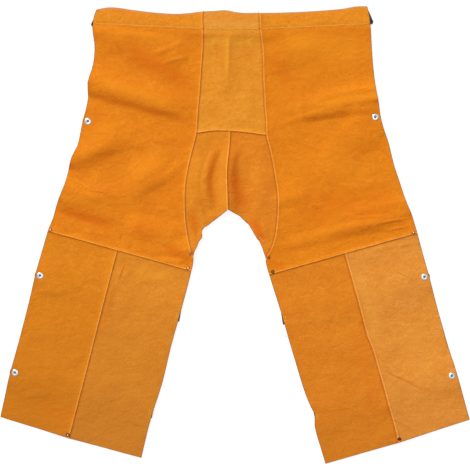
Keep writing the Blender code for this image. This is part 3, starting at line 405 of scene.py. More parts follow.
class ApronWebbingSettings(PropertyGroup):
    """Belt and leg straps."""

    colour: colour_setting("Webbing", 26, 25, 26)
    lint: colour_setting("Lint on the webbing", 92, 90, 88)
    thickness: length_setting("Thickness of the webbing", 1.4)
    rib: length_setting("Distance between the woven ribs", 2.1)


class ApronStageSettings(PropertyGroup):
    """Floor, lights and camera."""

    floor: colour_setting("Floor", 128, 128, 128)
    sky: colour_setting("Warm fill light", 255, 172, 112)
    shine: colour_setting("What the metal mirrors", 242, 244, 250)
    width: length_setting("Width that the camera sees at the floor", 1034)
    lens: FloatProperty(name="Lens in millimetres", default=85.0, min=20.0, max=200.0)
    key: FloatProperty(name="Key light", default=3.5, min=0.0)
    glow: FloatProperty(name="Glow of the pale floor", default=0.83, min=0.0)
    fill: FloatProperty(name="Fill light", default=0.26, min=0.0)
    top: FloatProperty(name="Top light", default=34.0, min=0.0)


def set_all(thing, **settings):
    """Set several of a thing's properties, and hand it back."""
    for key, value in settings.items():
        setattr(thing, key, value)
    return thing


def make_active(piece):
    """Select one piece alone."""
    bpy.ops.object.select_all(action="DESELECT")
    piece.select_set(True)
    bpy.context.view_layer.objects.active = piece


def modify(piece, name, kind, **settings):
    """Change a piece by a modifier and apply it."""
    set_all(piece.modifiers.new(name, kind), **settings)
    make_active(piece)
    bpy.ops.object.modifier_apply(modifier=name)


def shade_smooth(piece):
    """Shade a piece smooth between its sharp edges."""
    make_active(piece)
    bpy.ops.object.shade_smooth_by_angle(angle=SMOOTH)


def apply_place():
    """Make the active piece's place, turn and size its mesh's own."""
    bpy.ops.object.transform_apply(location=True, rotation=True, scale=True)


@contextmanager
def edit_mode(piece):
    """Edit mode on one piece, with all of it selected."""
    make_active(piece)
    bpy.ops.object.mode_set(mode="EDIT")
    bpy.ops.mesh.select_all(action="SELECT")
    yield
    bpy.ops.object.mode_set(mode="OBJECT")


@contextmanager
def reshaped(piece):
    """A piece's mesh with its edges and neighbours at hand, written back at the end."""
    shape = bmesh.new()
    shape.from_mesh(piece.data)
    yield shape
    shape.to_mesh(piece.data)
    shape.free()


def add_piece(name, mesh):
    """Link a mesh into the scene as a new piece at the origin."""
    mesh.name = name
    piece = bpy.data.objects.new(name, mesh)
    bpy.context.scene.collection.objects.link(piece)
    return piece


def dress(piece, *finishes):
    """Give a piece its materials."""
    for finish in finishes:
        piece.data.materials.append(finish)


def finish_piece(piece, node=None):
    """Let a piece ride on the garment, and stand for its solid."""
    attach(piece, BODY)
    if node:
        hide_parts(node)


def surface_tree(piece, in_plan=False):
    """Search tree of a surface, as it is or pressed flat into the plan."""
    places = [(x, y, 0.0 if in_plan else z) for x, y, z in (vertex.co for vertex in piece.data.vertices)]
    return BVHTree.FromPolygons(places, [list(face.vertices) for face in piece.data.polygons])


def solid_trees(nodes, in_plan=False):
    """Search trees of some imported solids."""
    return [surface_tree(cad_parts[node], in_plan) for node in nodes]


def top_at(tree, x, y):
    """Highest point of a surface over a place, and the way it faces."""
    spot, facing, _, _ = tree.ray_cast(Vector((x, y, SKY)), -UP)
    return spot, facing


def seat_on(tree, x, y, radius):
    """Highest point of the leather under a round head."""
    turns = [math.tau * step / 12 for step in range(12)]
    spots = [top_at(tree, x + radius * math.cos(turn), y + radius * math.sin(turn))[0] for turn in turns]
    heights = [spot.z for spot in spots if spot]
    if not heights:
        raise RuntimeError(f"no leather under a head at {x:.3f}, {y:.3f}")
    return max(heights)


def outer_sheet(node, name):
    """The outside face of a solid's wall, as an open sheet of faces."""
    piece = add_piece(name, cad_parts[node].data.copy())
    piece.data.materials.clear()
    make_active(piece)
    bpy.ops.mesh.customdata_custom_splitnormals_clear()
    with edit_mode(piece):
        bpy.ops.mesh.remove_doubles(threshold=WELD)
        bpy.ops.mesh.tris_convert_to_quads(face_threshold=SMOOTH, shape_threshold=SHARP)
        bpy.ops.mesh.select_all(action="DESELECT")
        shape = bmesh.from_edit_mesh(piece.data)
        upper = [face for face in shape.faces if face.normal.z > FACING_UP]
        first = max(upper, key=lambda face: face.calc_center_median().z)
        sheet = {first}
        edge_of_sheet = [first]
        while edge_of_sheet:
            for edge in edge_of_sheet.pop().edges:
                for other in edge.link_faces:
                    if other not in sheet and edge.calc_face_angle(0.0) < SHARP:
                        sheet.add(other)
                        edge_of_sheet.append(other)
        for face in shape.faces:
            face.select_set(face not in sheet)
        bmesh.update_edit_mesh(piece.data)
        bpy.ops.mesh.delete(type="FACE")
    return piece


def tuck_under(piece, uppers):
    """Push a sheet's seam edges a little way under the turned edges that they are sewn to."""
    trees = solid_trees(uppers)
    with reshaped(piece) as shape:
        for vertex in [vertex for vertex in shape.verts if vertex.is_boundary]:
            push = Vector((0.0, 0.0))
            for tree in trees:
                place, _, _, away = tree.find_nearest(vertex.co, TUCK_REACH)
                if place:
                    way = (place - vertex.co).to_2d()
                    if way.length > WELD:
                        push += way.normalized() * (away + SEAM_TUCK)
            vertex.co.xy += push


def keep_outline(piece, neighbours):
    """Crease a sheet's outline: fully at corners and along seams, and softly at gentle bends."""
    trees = solid_trees(neighbours)
    with reshaped(piece) as shape:
        crease = shape.verts.layers.float.new("crease_vert")
        for vertex in shape.verts:
            ends = [edge.other_vert(vertex).co for edge in vertex.link_edges if edge.is_boundary]
            if len(ends) == 2:
                bend = (vertex.co - ends[0]).to_2d().angle((ends[1] - vertex.co).to_2d(), 0.0)
                at_seam = any(tree.find_nearest(vertex.co, SEAM_REACH)[0] for tree in trees)
                vertex[crease] = 1.0 if at_seam or bend > OUTLINE_CORNER else GENTLE_CREASE


def subdivide(piece, levels):
    """Round a sheet's form between its creases."""
    modify(piece, "rounded form", "SUBSURF", levels=levels, render_levels=levels)


def add_edge_rows(piece):
    """Split the faces along a sheet's outline into narrow rows beside it."""
    with edit_mode(piece):
        bpy.ops.mesh.select_mode(type="EDGE")
        bpy.ops.mesh.select_all(action="DESELECT")
        shape = bmesh.from_edit_mesh(piece.data)
        for edge in shape.edges:
            edge.select_set(edge.verts[0].is_boundary != edge.verts[1].is_boundary)
        bmesh.update_edit_mesh(piece.data)
        bpy.ops.mesh.subdivide(number_cuts=EDGE_ROWS)
        bpy.ops.mesh.select_mode(type="VERT")


def outline_tree(piece):
    """Search tree of a sheet's outline, with places between its vertices too."""
    shape = bmesh.new()
    shape.from_mesh(piece.data)
    places = []
    for edge in shape.edges:
        if edge.is_boundary:
            start, end = (vertex.co for vertex in edge.verts)
            places.extend(start.lerp(end, share) for share in (0.0, 0.25, 0.5, 0.75))
    shape.free()
    tree = KDTree(len(places))
    for index, place in enumerate(places):
        tree.insert(place, index)
    tree.balance()
    return tree


def thicken(piece, thickness):
    """Give a sheet its thickness below the outer face, and its rim the second material if it has one."""
    modify(piece, "thickness", "SOLIDIFY", thickness=thickness, offset=-1.0, material_offset_rim=1)


def thicken_hide(piece, settings):
    """Give a leather sheet its thickness, and round its cut edges without spikes at sharp corners."""
    with reshaped(piece) as shape:
        weight = shape.edges.layers.float.new("bevel_weight_edge")
        for edge in shape.edges:
            edge[weight] = float(edge.is_boundary)
    thicken(piece, settings.thickness)
    square_edged = surface_tree(piece)
    modify(piece, "cut edge", "BEVEL", width=settings.edge_round, segments=2, limit_method="WEIGHT",
           use_clamp_overlap=False, material=1)
    for vertex in piece.data.vertices:
        if square_edged.find_nearest(vertex.co, settings.edge_round / 2)[0] is None:
            vertex.co = square_edged.find_nearest(vertex.co)[0]
    shade_smooth(piece)


def smooth_share(share):
    """0 below 0, 1 above 1, and a smooth rise between, for a whole array."""
    share = np.clip(share, 0.0, 1.0)
    return share * share * (3.0 - 2.0 * share)


def vertex_rows(values, field="co"):
    """A vector of each vertex, as rows of x, y and z."""
    flat = np.empty(len(values) * 3)
    values.foreach_get(field, flat)
    return flat.reshape(-1, 3)


def set_vertex_places(piece, places):
    """Move all of a piece's vertices."""
    piece.data.vertices.foreach_set("co", places.ravel())
    piece.data.update()


def nudge_outline(piece):
    """Push a sheet's edge in or out in plan where the hide's cut edge is ragged."""
    places = vertex_rows(piece.data.vertices)
    for nudge in NUDGES:
        away = np.hypot(places[:, 0] / MM - nudge.x, places[:, 1] / MM - nudge.y) / nudge.reach
        share = (np.clip(1.0 - away ** 2, 0.0, 1.0) ** 2)[:, None]
        places[:, :2] += share * np.array((nudge.dx, nudge.dy)) * MM
    set_vertex_places(piece, places)


def band_share(band, plan):
    """How much a soft curved band holds at each place of a plan: 1 on its middle line, 0 outside."""
    start = np.array((band.x0, band.y0), float)
    middle = np.array((band.x1, band.y1), float)
    end = np.array((band.x2, band.y2), float)
    pull = 2 * middle - (start + end) / 2
    steps = np.linspace(0.0, 1.0, BAND_STEPS)[:, None]
    path = (1 - steps) ** 2 * start + 2 * steps * (1 - steps) * pull + steps ** 2 * end
    nearest = np.full(len(plan), np.inf)
    along = np.zeros(len(plan))
    for index in range(BAND_STEPS - 1):
        way = path[index + 1] - path[index]
        share = np.clip((plan - path[index]) @ way / (way @ way), 0.0, 1.0)
        away = np.linalg.norm(plan - path[index] - share[:, None] * way, axis=1)
        closer = away < nearest
        nearest[closer] = away[closer]
        along[closer] = (index + share[closer]) / (BAND_STEPS - 1)
    body = np.clip(1.0 - (nearest / band.width) ** 2, 0.0, 1.0) ** 2
    return body * smooth_share(np.minimum(along, 1.0 - along) / BAND_TAPER)


def swell_rise(plan):
    """Slow unevenness of the hide at each place of a plan, in millimetres, never below 0."""
    rise = np.zeros(len(plan))
    for index, (x, y) in enumerate(plan):
        for swell in SWELLS:
            rise[index] += swell.rise * noise.noise(Vector((x / swell.wave, y / swell.wave, swell.seed)))
    return np.clip(rise + SWELLS[0].rise * SWELL_LEVEL, 0.0, None)


def below_casing(plan):
    """How far each place of a plan lies below the waist hem's stitch line, in millimetres."""
    line = np.interp(plan[:, 0], [place.x for place in WAIST_STITCH], [place.y for place in WAIST_STITCH])
    return line - plan[:, 1]


def crumple(piece):
    """Lift a leather sheet into its wrinkles and slow swells."""
    places = vertex_rows(piece.data.vertices)
    upward = np.clip(vertex_rows(piece.data.vertex_normals, "vector")[:, 2], 0.0, 1.0) ** 4
    plan = places[:, :2] / MM
    below = below_casing(plan)
    body = smooth_share(below / CASING_FADE)
    rise = swell_rise(plan) * (body + (1.0 - body) * CASING_SWELL_SHARE * upward)
    for wrinkle in WRINKLES:
        rise += wrinkle.rise * band_share(wrinkle, plan) * body
    foot = smooth_share(below / CASING_FOOT_RISE)
    rise += CASING_FOOT * foot * (1.0 - smooth_share((below - CASING_FOOT_FLAT) / CASING_FOOT_FALL))
    from_stitches = np.abs(below) / STITCH_DIP_REACH
    rise -= STITCH_DIP * np.clip(1.0 - from_stitches, 0.0, 1.0) ** 2 * upward
    places[:, 2] += rise * MM
    set_vertex_places(piece, places)


def keep_off_floor(piece):
    """Lay flat whatever would reach below the surface that the garment lies on."""
    places = vertex_rows(piece.data.vertices)
    places[:, 2] = np.maximum(places[:, 2], 0.0)
    set_vertex_places(piece, places)


def closeness(away, mark):
    """1 within a mark's flat distance, and 0 from there on past its fade."""
    return 1.0 - smooth_share((away / MM - mark.flat) / mark.fade)


def distances(piece, nodes):
    """How far each of a piece's vertices lies in plan from the nearest of some solids."""
    trees = solid_trees(nodes, in_plan=True)
    away = np.full(len(piece.data.vertices), SEAM_SEARCH)
    for index, vertex in enumerate(piece.data.vertices):
        place = Vector((vertex.co.x, vertex.co.y, 0.0))
        for tree in trees:
            found = tree.find_nearest(place, SEAM_SEARCH)[3]
            if found is not None:
                away[index] = min(away[index], found)
    return away


def below_upper_edge(places):
    """How far each of a panel's places lies in plan below the panel's uppermost place in its column."""
    columns = np.round(places[:, 0] / EDGE_COLUMN).astype(int)
    columns -= columns.min()
    uppermost = np.full(columns.max() + 1, -np.inf)
    np.maximum.at(uppermost, columns, places[:, 1])
    return uppermost[columns] - places[:, 1]


def mark_seams(piece, over_nodes, under_nodes, outline):
    """Store where a panel's turned seam edges (painted highlight), sunk seam edges (painted shade, with some
    dirt), cut edges, hem stitches, waist fold edge (painted shade) and fold bands (painted light and shade)
    lie.
    """
    places = vertex_rows(piece.data.vertices)
    plan = places[:, :2] / MM
    # Painted highlight on turned seam edges that lie over a neighbour
    over = closeness(distances(piece, over_nodes), OVER_MARK)
    # Painted shade, with some dirt, beside seam edges sunk under a neighbour
    beneath = closeness(distances(piece, under_nodes), UNDER_MARK)
    from_rim = np.array([outline.find(place)[2] for place in places])
    below = below_casing(plan)
    # Painted highlight along the waist stitches
    sewn = SEWN_STRENGTH * closeness(np.abs(below) * MM, SEWN_MARK)
    # Painted shade along the waist fold's top edge
    at_fold = closeness(below_upper_edge(places), WAIST_MARK)
    # Painted shade (below 0) and painted light (above 0) along the folds, from the bands
    tone = sum(band.shade * band_share(band, plan) for band in PAINTED_SHADING)
    marks = {
        "seam_over": np.maximum(over, sewn),
        "seam_under": beneath,
        "rim": closeness(from_rim, RIM_MARK) * (1.0 - np.maximum(over, beneath)),
        "hem": 1.0 - smooth_share(below / HEM_BLEND + 0.5),
        "fold": at_fold * smooth_share(-below / WAIST_FOLD_ABOVE - 1.0),
        "soiled": np.clip(-tone, 0.0, 1.0),
        "pale": np.clip(tone, 0.0, 1.0),
    }
    for name, values in marks.items():
        attribute = piece.data.attributes.new(name, "FLOAT", "POINT")
        attribute.data.foreach_set("value", values.astype(np.float32))
    for face in piece.data.polygons:
        if face.material_index == 1 and max(over[index] for index in face.vertices) > 0.5:
            face.material_index = 0


def feed(tree, node, inputs):
    """Set or link a shader node's inputs."""
    for key, value in inputs.items():
        if isinstance(value, bpy.types.NodeSocket):
            tree.links.new(value, node.inputs[key])
        else:
            node.inputs[key].default_value = value
    return node


def add_node(tree, kind, inputs=None, **settings):
    """A shader node with its settings, and its inputs set or linked."""
    return feed(tree, set_all(tree.nodes.new(kind), **settings), inputs or {})


def noise_value(tree, place, scale, detail=2.0, roughness=0.5, distortion=0.0):
    """Grey noise over a place socket."""
    return add_node(tree, "ShaderNodeTexNoise", {
        "Vector": place, "Scale": scale, "Detail": detail, "Roughness": roughness,
        "Distortion": distortion}).outputs["Fac"]


def wave_value(tree, place, scale, direction, distortion, **inputs):
    """Grey waves over a place socket."""
    return add_node(
        tree, "ShaderNodeTexWave", {"Vector": place, "Scale": scale, "Distortion": distortion, **inputs},
        wave_type="BANDS", bands_direction=direction).outputs["Fac"]


def spread(tree, value, low, high, to_low=0.0, to_high=1.0):
    """A value stretched from one range to another and held inside it."""
    return add_node(tree, "ShaderNodeMapRange", {
        "Value": value, "From Min": low, "From Max": high, "To Min": to_low, "To Max": to_high,
    }).outputs["Result"]


def mathed(tree, operation, first, second=0.0):
    """Two values put together."""
    return add_node(tree, "ShaderNodeMath", {0: first, 1: second}, operation=operation).outputs[0]


def times(tree, first, second):
    """One value times another."""
    return mathed(tree, "MULTIPLY", first, second)


def mixed(tree, share, first, second, blend="MIX"):
    """Two colours mixed by a share."""
    return add_node(tree, "ShaderNodeMix", {0: share, 6: first, 7: second},
                    data_type="RGBA", blend_type=blend).outputs[2]


def with_alpha(colour, scale=1.0):
    """A colour for a socket, made lighter or darker."""
    return (*(min(1.0, channel * scale) for channel in colour), 1.0)


def dyed(colour, red, green, blue):
    """A dye with each of its channels made weaker or stronger."""
    return (colour[0] * red, colour[1] * green, colour[2] * blue, 1.0)


def placed(tree, scale=(1.0, 1.0, 1.0), turn=0.0, shift=(0.0, 0.0, 0.0), kind="POINT"):
    """Object coordinates, moved, turned about Z and stretched."""
    return add_node(tree, "ShaderNodeMapping", {
        "Vector": add_node(tree, "ShaderNodeTexCoord").outputs["Object"],
        "Location": shift, "Rotation": (0.0, 0.0, turn), "Scale": scale}, vector_type=kind).outputs["Vector"]


def axes_of(tree, place):
    """The X, Y and Z of a place socket."""
    return add_node(tree, "ShaderNodeSeparateXYZ", {"Vector": place}).outputs


def new_material(name):
    """An empty Principled material, its node tree and its shader."""
    material = bpy.data.materials.new(name)
    material.use_nodes = True
    return material, material.node_tree, material.node_tree.nodes["Principled BSDF"]


def feed_surface(tree, shader, height, strength, depth, inputs):
    """Feed a shader its inputs and its fine relief."""
    bump = add_node(tree, "ShaderNodeBump", {"Height": height, "Strength": strength, "Distance": depth})
    feed(tree, shader, {"Normal": bump.outputs["Normal"], **inputs})


def creased_line(tree, crease):
    """How much a fine straight crease shows: 1 on its line, and fading out across it and at its ends."""
    run, rise = crease.x1 - crease.x0, crease.y1 - crease.y0
    length = math.hypot(run, rise) * MM
    start = (crease.x0 * MM, crease.y0 * MM, 0.0)
    axes = axes_of(tree, placed(tree, turn=math.atan2(rise, run), shift=start, kind="TEXTURE"))
    line = spread(tree, mathed(tree, "ABSOLUTE", axes["Y"]), 0.0, crease.width * MM, 1.0, 0.0)
    line = times(tree, line, spread(tree, axes["X"], 0.0, length * 0.3))
    return times(tree, line, spread(tree, axes["X"], length, length * 0.7))


def hide_dye(tree, colour, mottling, place, fibres):
    """Uneven dye of the hide, and its mottle."""
    clouds = spread(tree, noise_value(tree, place, 12.0, 2.0, 0.5, 0.3), 0.3, 0.7)
    blotches = spread(tree, noise_value(tree, fibres, 46.0, 4.0, 0.6, 0.7), 0.3, 0.7)
    mottle = spread(tree, noise_value(tree, place, 135.0, 4.0, 0.65, 0.9), 0.3, 0.7)
    creased = mathed(tree, "SUBTRACT", noise_value(tree, fibres, 34.0, 3.0, 0.55, 2.2), 0.5)
    veins = spread(tree, mathed(tree, "ABSOLUTE", creased), 0.0, 0.018, 1.0, 0.0)
    dye = dyed(colour, 1.0, 1.0, 1.0)
    for share, weight, other in (
        (clouds, 1.1, dyed(colour, 0.88, 0.76, 0.65)),
        (blotches, 1.0, dyed(colour, 1.14, 1.32, 1.8)),
        (mottle, 1.2, dyed(colour, 0.84, 0.72, 0.6)),
        (veins, 0.7, dyed(colour, 1.2, 1.45, 2.4)),
    ):
        dye = mixed(tree, times(tree, share, mottling * weight), dye, other)
    return dye, blotches, mottle


def suede_material(name, colour, settings, seed, creases=()):
    """Napped split leather: uneven dye, brushed nap, painted highlights on seam edges, painted shade beside
    seams, at the waist fold and along creases, painted fold light and shade, darker towards the lower left,
    and a frayed rim.
    """
    material, tree, shader = new_material(name)
    place = placed(tree, shift=(seed, seed * 0.37, 0.0))
    fibres = placed(tree, scale=(0.6, 1.0, 1.0), turn=seed * 0.4, shift=(0.0, seed, 0.0))
    dye, blotches, mottle = hide_dye(tree, colour, settings.mottle, place, fibres)
    grain = noise_value(tree, place, 480.0, 2.0, 0.6)
    brushed = noise_value(tree, fibres, 260.0, 3.0, 0.65, 0.8)
    nap = spread(tree, mathed(tree, "ADD", grain, brushed), 0.7, 1.3, 0.965, 1.035)
    nap_tone = add_node(tree, "ShaderNodeCombineColor", {"Red": nap, "Green": nap, "Blue": nap}).outputs[0]
    dye = mixed(tree, 1.0, dye, nap_tone, "MULTIPLY")
    axes = axes_of(tree, placed(tree))
    height = mathed(tree, "ADD", axes["Y"], times(tree, axes["X"], 0.3))
    low_left = spread(tree, height, -0.15, -0.55, 0.0, 0.8)

    def stored(attribute, strength=1.0):
        value = add_node(tree, "ShaderNodeAttribute", attribute_name=attribute).outputs["Fac"]
        return times(tree, value, strength)

    uneven = spread(tree, mottle, 0.0, 1.0, 0.62, 0.38)
    hem_dye = mixed(tree, mottle, dyed(colour, 1.12, 1.38, 2.9), dyed(colour, 0.93, 0.98, 1.5))
    lines = [creased_line(tree, crease) for crease in creases]
    for share, other in (
        (low_left, dyed(colour, 0.74, 0.74, 0.95)),
        (stored("hem", 0.9), hem_dye),
        # Painted shade, darker and redder, on the shaded slopes of folds
        (stored("soiled"), dyed(colour, 0.92, 0.7, 0.5)),
        # Painted light, paler, on lit crests and slopes of folds
        (stored("pale"), dyed(colour, 1.06, 1.2, 1.35)),
        # Painted highlight on turned seam edges and along the waist stitches, unevenly strong
        (stored("seam_over", uneven), with_alpha(settings.worn)),
        # Painted shade, with some dirt, beside sunk seam edges
        (stored("seam_under", 0.66), dyed(colour, 0.64, 0.46, 0.34)),
        # Painted shade along the waist fold's top edge
        (stored("fold", 0.75), with_alpha(settings.waist_edge_painted_shade)),
        # Painted shade along the fine creases
        *((times(tree, line, 0.6), dyed(colour, 0.72, 0.56, 0.46)) for line in lines),
        (stored("rim", 0.8), with_alpha(settings.cut_edge)),
    ):
        dye = mixed(tree, share, dye, other)

    relief = times(tree, brushed, 0.5)
    for part, rise in ((grain, 0.3), (mottle, 1.1), (blotches, 2.0), *((line, -1.2) for line in lines)):
        relief = mathed(tree, "ADD", relief, times(tree, part, rise))
    feed_surface(tree, shader, relief, settings.nap, 1.0 * MM, {
        "Base Color": dye, "Roughness": spread(tree, grain, 0.3, 0.7, 0.84, 0.98),
        "Specular IOR Level": 0.15, "Sheen Weight": 0.1, "Sheen Roughness": 0.45,
        "Sheen Tint": (1.0, 0.78, 0.5, 1.0),
    })
    return material


def cut_edge_material(settings):
    """The raw, fibrous edge of the hide."""
    material, tree, shader = new_material("raw hide edge")
    strands = noise_value(tree, placed(tree, scale=(1.0, 1.0, 4.0)), 600.0, 3.0, 0.7)
    dye = mixed(tree, strands, with_alpha(settings.cut_edge, 0.7), with_alpha(settings.cut_edge, 1.35))
    feed_surface(tree, shader, strands, 0.5, 0.3 * MM, {
        "Base Color": dye, "Roughness": 0.95, "Specular IOR Level": 0.1})
    return material


def webbing_material(name, settings, turn):
    """Black woven tape: ribs across, a twill between them and a low gloss."""
    material, tree, shader = new_material(name)
    place = placed(tree, turn=turn)
    waves_per_metre = 1.0 / settings.rib
    ribs = wave_value(
        tree, place, waves_per_metre / math.tau * 2, "X", 0.6, **{"Detail": 1.0, "Detail Scale": 2.0})
    twill = wave_value(tree, place, waves_per_metre / math.tau * 3, "DIAGONAL", 0.3)
    weave = mathed(tree, "ADD", times(tree, ribs, 0.6), times(tree, twill, 0.4))
    lint = spread(tree, noise_value(tree, place, 900.0, 2.0, 0.7), 0.62, 0.8, 0.0, 0.2)
    dye = mixed(tree, weave, with_alpha(settings.colour, 0.45), with_alpha(settings.colour, 1.5))
    feed_surface(tree, shader, weave, 0.7, 0.4 * MM, {
        "Base Color": mixed(tree, lint, dye, with_alpha(settings.lint)),
        "Roughness": spread(tree, weave, 0.0, 1.0, 0.75, 0.5)})
    return material


def metal_material(name, colour, roughness):
    """Plated metal with fine scratches."""
    material, tree, shader = new_material(name)
    scratches = noise_value(tree, placed(tree, scale=(1.0, 6.0, 1.0)), 900.0, 2.0, 0.6)
    feed_surface(tree, shader, scratches, 0.15, 0.1 * MM, {
        "Base Color": with_alpha(colour), "Metallic": 1.0,
        "Roughness": spread(tree, scratches, 0.3, 0.7, roughness * 0.7, roughness * 1.3)})
    return material


def dull_material(name, colour, roughness, scale):
    """A plain matt surface with a fine uneven tone and texture."""
    material, tree, shader = new_material(name)
    speckle = noise_value(tree, placed(tree), scale, 3.0, 0.6)
    dye = mixed(tree, speckle, with_alpha(colour, 0.8), with_alpha(colour, 1.2))
    feed_surface(tree, shader, speckle, 0.25, 0.2 * MM, {
        "Base Color": dye, "Roughness": roughness, "Specular IOR Level": 0.2})
    return material


class APRON_OT_leather_panels(Operator):
    """Build the nine leather panels as thin crumpled shells"""

    bl_idname = "apron.leather_panels"
    bl_label = "Leather panels"

    def execute(self, context):
        settings = context.scene.apron_leather
        edge = cut_edge_material(settings)
        for number, cut in enumerate(PANELS):
            name = cut.node.replace("_panel", "")
            hide = name.removeprefix("front_")
            piece = outer_sheet(cut.node, f"leather_{name}")
            suede = suede_material(
                f"suede {hide}", getattr(settings, hide), settings, number * PATTERN_STEP,
                CREASES.get(hide, ()))
            dress(piece, suede, edge)
            under = [other.node for other in PANELS if cut.node in other.over]
            keep_outline(piece, [*cut.over, *under])
            tuck_under(piece, under)
            subdivide(piece, settings.levels)
            add_edge_rows(piece)
            nudge_outline(piece)
            crumple(piece)
            outline = outline_tree(piece)
            thicken_hide(piece, settings)
            keep_off_floor(piece)
            mark_seams(piece, cut.over, under, outline)
            leather[cut.node] = surface_tree(piece)
            finish_piece(piece, cut.node)
        return {"FINISHED"}


def strip_corners(node):
    """The four upper corners of a flat strip's solid, along it and then across it."""
    places = np.array([vertex.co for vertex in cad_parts[node].data.vertices])
    plan = places[:, :2]
    middle = plan.mean(axis=0)
    along = np.linalg.svd(plan - middle)[2][0]
    if along[0] < 0:
        along = -along
    across = np.array((-along[1], along[0]))
    far, side = (plan - middle) @ along, (plan - middle) @ across
    corners = []
    for end, edge in ((-1, -1), (1, -1), (-1, 1), (1, 1)):
        x, y = plan[np.argmax(far * end + side * edge)]
        corners.append(Vector((x, y, places[:, 2].max())))
    return corners


class APRON_OT_leg_straps(Operator):
    """Build the webbing straps that lie under the legs"""

    bl_idname = "apron.leg_straps"
    bl_label = "Leg straps"

    def execute(self, context):
        settings = context.scene.apron_webbing
        for name, _, _ in LEG_STRAPS:
            near_low, far_low, near_high, far_high = strip_corners(f"strap_{name}")
            length, width = (far_low - near_low).length, (near_high - near_low).length
            way = (far_low - near_low).normalized()
            bpy.ops.mesh.primitive_grid_add(
                x_subdivisions=round(length / (2 * settings.rib)), y_subdivisions=12, size=2.0)
            piece = context.active_object
            piece.name = piece.data.name = f"webbing_{name}"
            tuck = STRAP_TUCK * MM / length if name.startswith("thigh") else 0.0
            first, last = (0.0, 1.0 - tuck) if name.endswith("left") else (tuck, 1.0)
            for vertex in piece.data.vertices:
                u, v = first + (last - first) * (vertex.co.x + 1) / 2, (vertex.co.y + 1) / 2
                low, high = near_low.lerp(far_low, u), near_high.lerp(far_high, u)
                edge = max(0.0, abs(v - 0.5) * 2 - (1 - SELVEDGE_SHARE)) / SELVEDGE_SHARE
                vertex.co = low.lerp(high, v) - UP * SELVEDGE * edge
            dress(piece, webbing_material(f"webbing {name}", settings, -math.atan2(way.y, way.x)))
            thicken(piece, settings.thickness - SELVEDGE)
            shade_smooth(piece)
            keep_off_floor(piece)
            finish_piece(piece, f"strap_{name}")
        return {"FINISHED"}


class APRON_OT_strap_tabs(Operator):
    """Build the leather tabs under the ring studs"""

    bl_idname = "apron.strap_tabs"
    bl_label = "Strap tabs"

    def execute(self, context):
        settings = context.scene.apron_leather
        suede = suede_material("suede tab", settings.shin_outer_left, settings, TAB_PATTERN)
        edge = cut_edge_material(settings)
        for name, _, _ in LEG_STRAPS:
            piece = outer_sheet(f"tab_{name}", f"leather_tab_{name}")
            dress(piece, suede, edge)
            subdivide(piece, settings.levels)
            thicken_hide(piece, settings)
            finish_piece(piece, f"tab_{name}")
        return {"FINISHED"}


class APRON_OT_waist_belt(Operator):
    """Build the webbing belt that runs through the waist hem"""

    bl_idname = "apron.waist_belt"
    bl_label = "Waist belt"

    def execute(self, context):
        settings = context.scene.apron_webbing
        piece = outer_sheet("belt_webbing", "webbing_belt")
        dress(piece, webbing_material("webbing belt", settings, 0.0))
        subdivide(piece, BELT_LEVELS)
        thicken(piece, settings.thickness)
        shade_smooth(piece)
        finish_piece(piece, "belt_webbing")
        return {"FINISHED"}


def add_box(middle, size):
    """A box that isn't a piece yet."""
    bpy.ops.mesh.primitive_cube_add(size=1.0, location=middle, scale=size)
    return bpy.context.active_object


def cut_out(piece, cutter):
    """Cut a shape out of a piece."""
    modify(piece, "cut out", "BOOLEAN", operation="DIFFERENCE", object=cutter)
    bpy.data.objects.remove(cutter, do_unlink=True)


class APRON_OT_belt_buckle(Operator):
    """Build the plain fastened buckle behind the waist"""

    bl_idname = "apron.belt_buckle"
    bl_label = "Belt buckle"

    def execute(self, context):
        settings = context.scene.apron_hardware
        low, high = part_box("belt_buckle")
        size = high - low
        middle = (low + high) / 2
        groove = (GROOVE_WIDTH, size.y * GROOVE_SHARE, GROOVE_DEPTH)
        piece = add_box(middle, size)
        piece.name = piece.data.name = "plastic_belt_buckle"
        apply_place()
        with edit_mode(piece):
            bpy.ops.mesh.bevel(offset=BUCKLE_ROUND * MM, segments=3, affect="EDGES")
        for side in (-1, 1):
            slot_place = Vector((side * (size.x / 2 - BUCKLE_SLOT_INSET), 0, 0))
            cut_out(piece, add_box(middle + slot_place, BUCKLE_SLOT))
            cut_out(piece, add_box(middle + Vector((side * GROOVE_PLACE, 0, -size.z / 2)), groove))
            bpy.ops.mesh.primitive_cylinder_add(
                vertices=32, radius=WAIST_RADIUS, depth=2 * size.z,
                location=middle + Vector((0, side * (size.y / 2 + WAIST_OUTSIDE), 0)))
            cut_out(piece, context.active_object)
        shade_smooth(piece)
        dress(piece, dull_material("buckle plastic", settings.plastic, 0.5, 500.0))
        finish_piece(piece, "belt_buckle")
        return {"FINISHED"}


def turned_piece(name, profile, steps):
    """A closed round piece turned from its profile of radius and height in millimetres."""
    mesh = bpy.data.meshes.new(name)
    corners = [(radius * MM, 0.0, height * MM) for radius, height in profile]
    mesh.from_pydata(corners, [(index, index + 1) for index in range(len(corners) - 1)], [])
    piece = add_piece(name, mesh)
    with edit_mode(piece):
        bpy.ops.mesh.spin(steps=steps, angle=math.tau, center=(0.0, 0.0, 0.0), axis=(0.0, 0.0, 1.0))
        bpy.ops.mesh.select_all(action="SELECT")
        bpy.ops.mesh.remove_doubles(threshold=WELD)
        bpy.ops.mesh.normals_make_consistent(inside=False)
    shade_smooth(piece)
    return piece


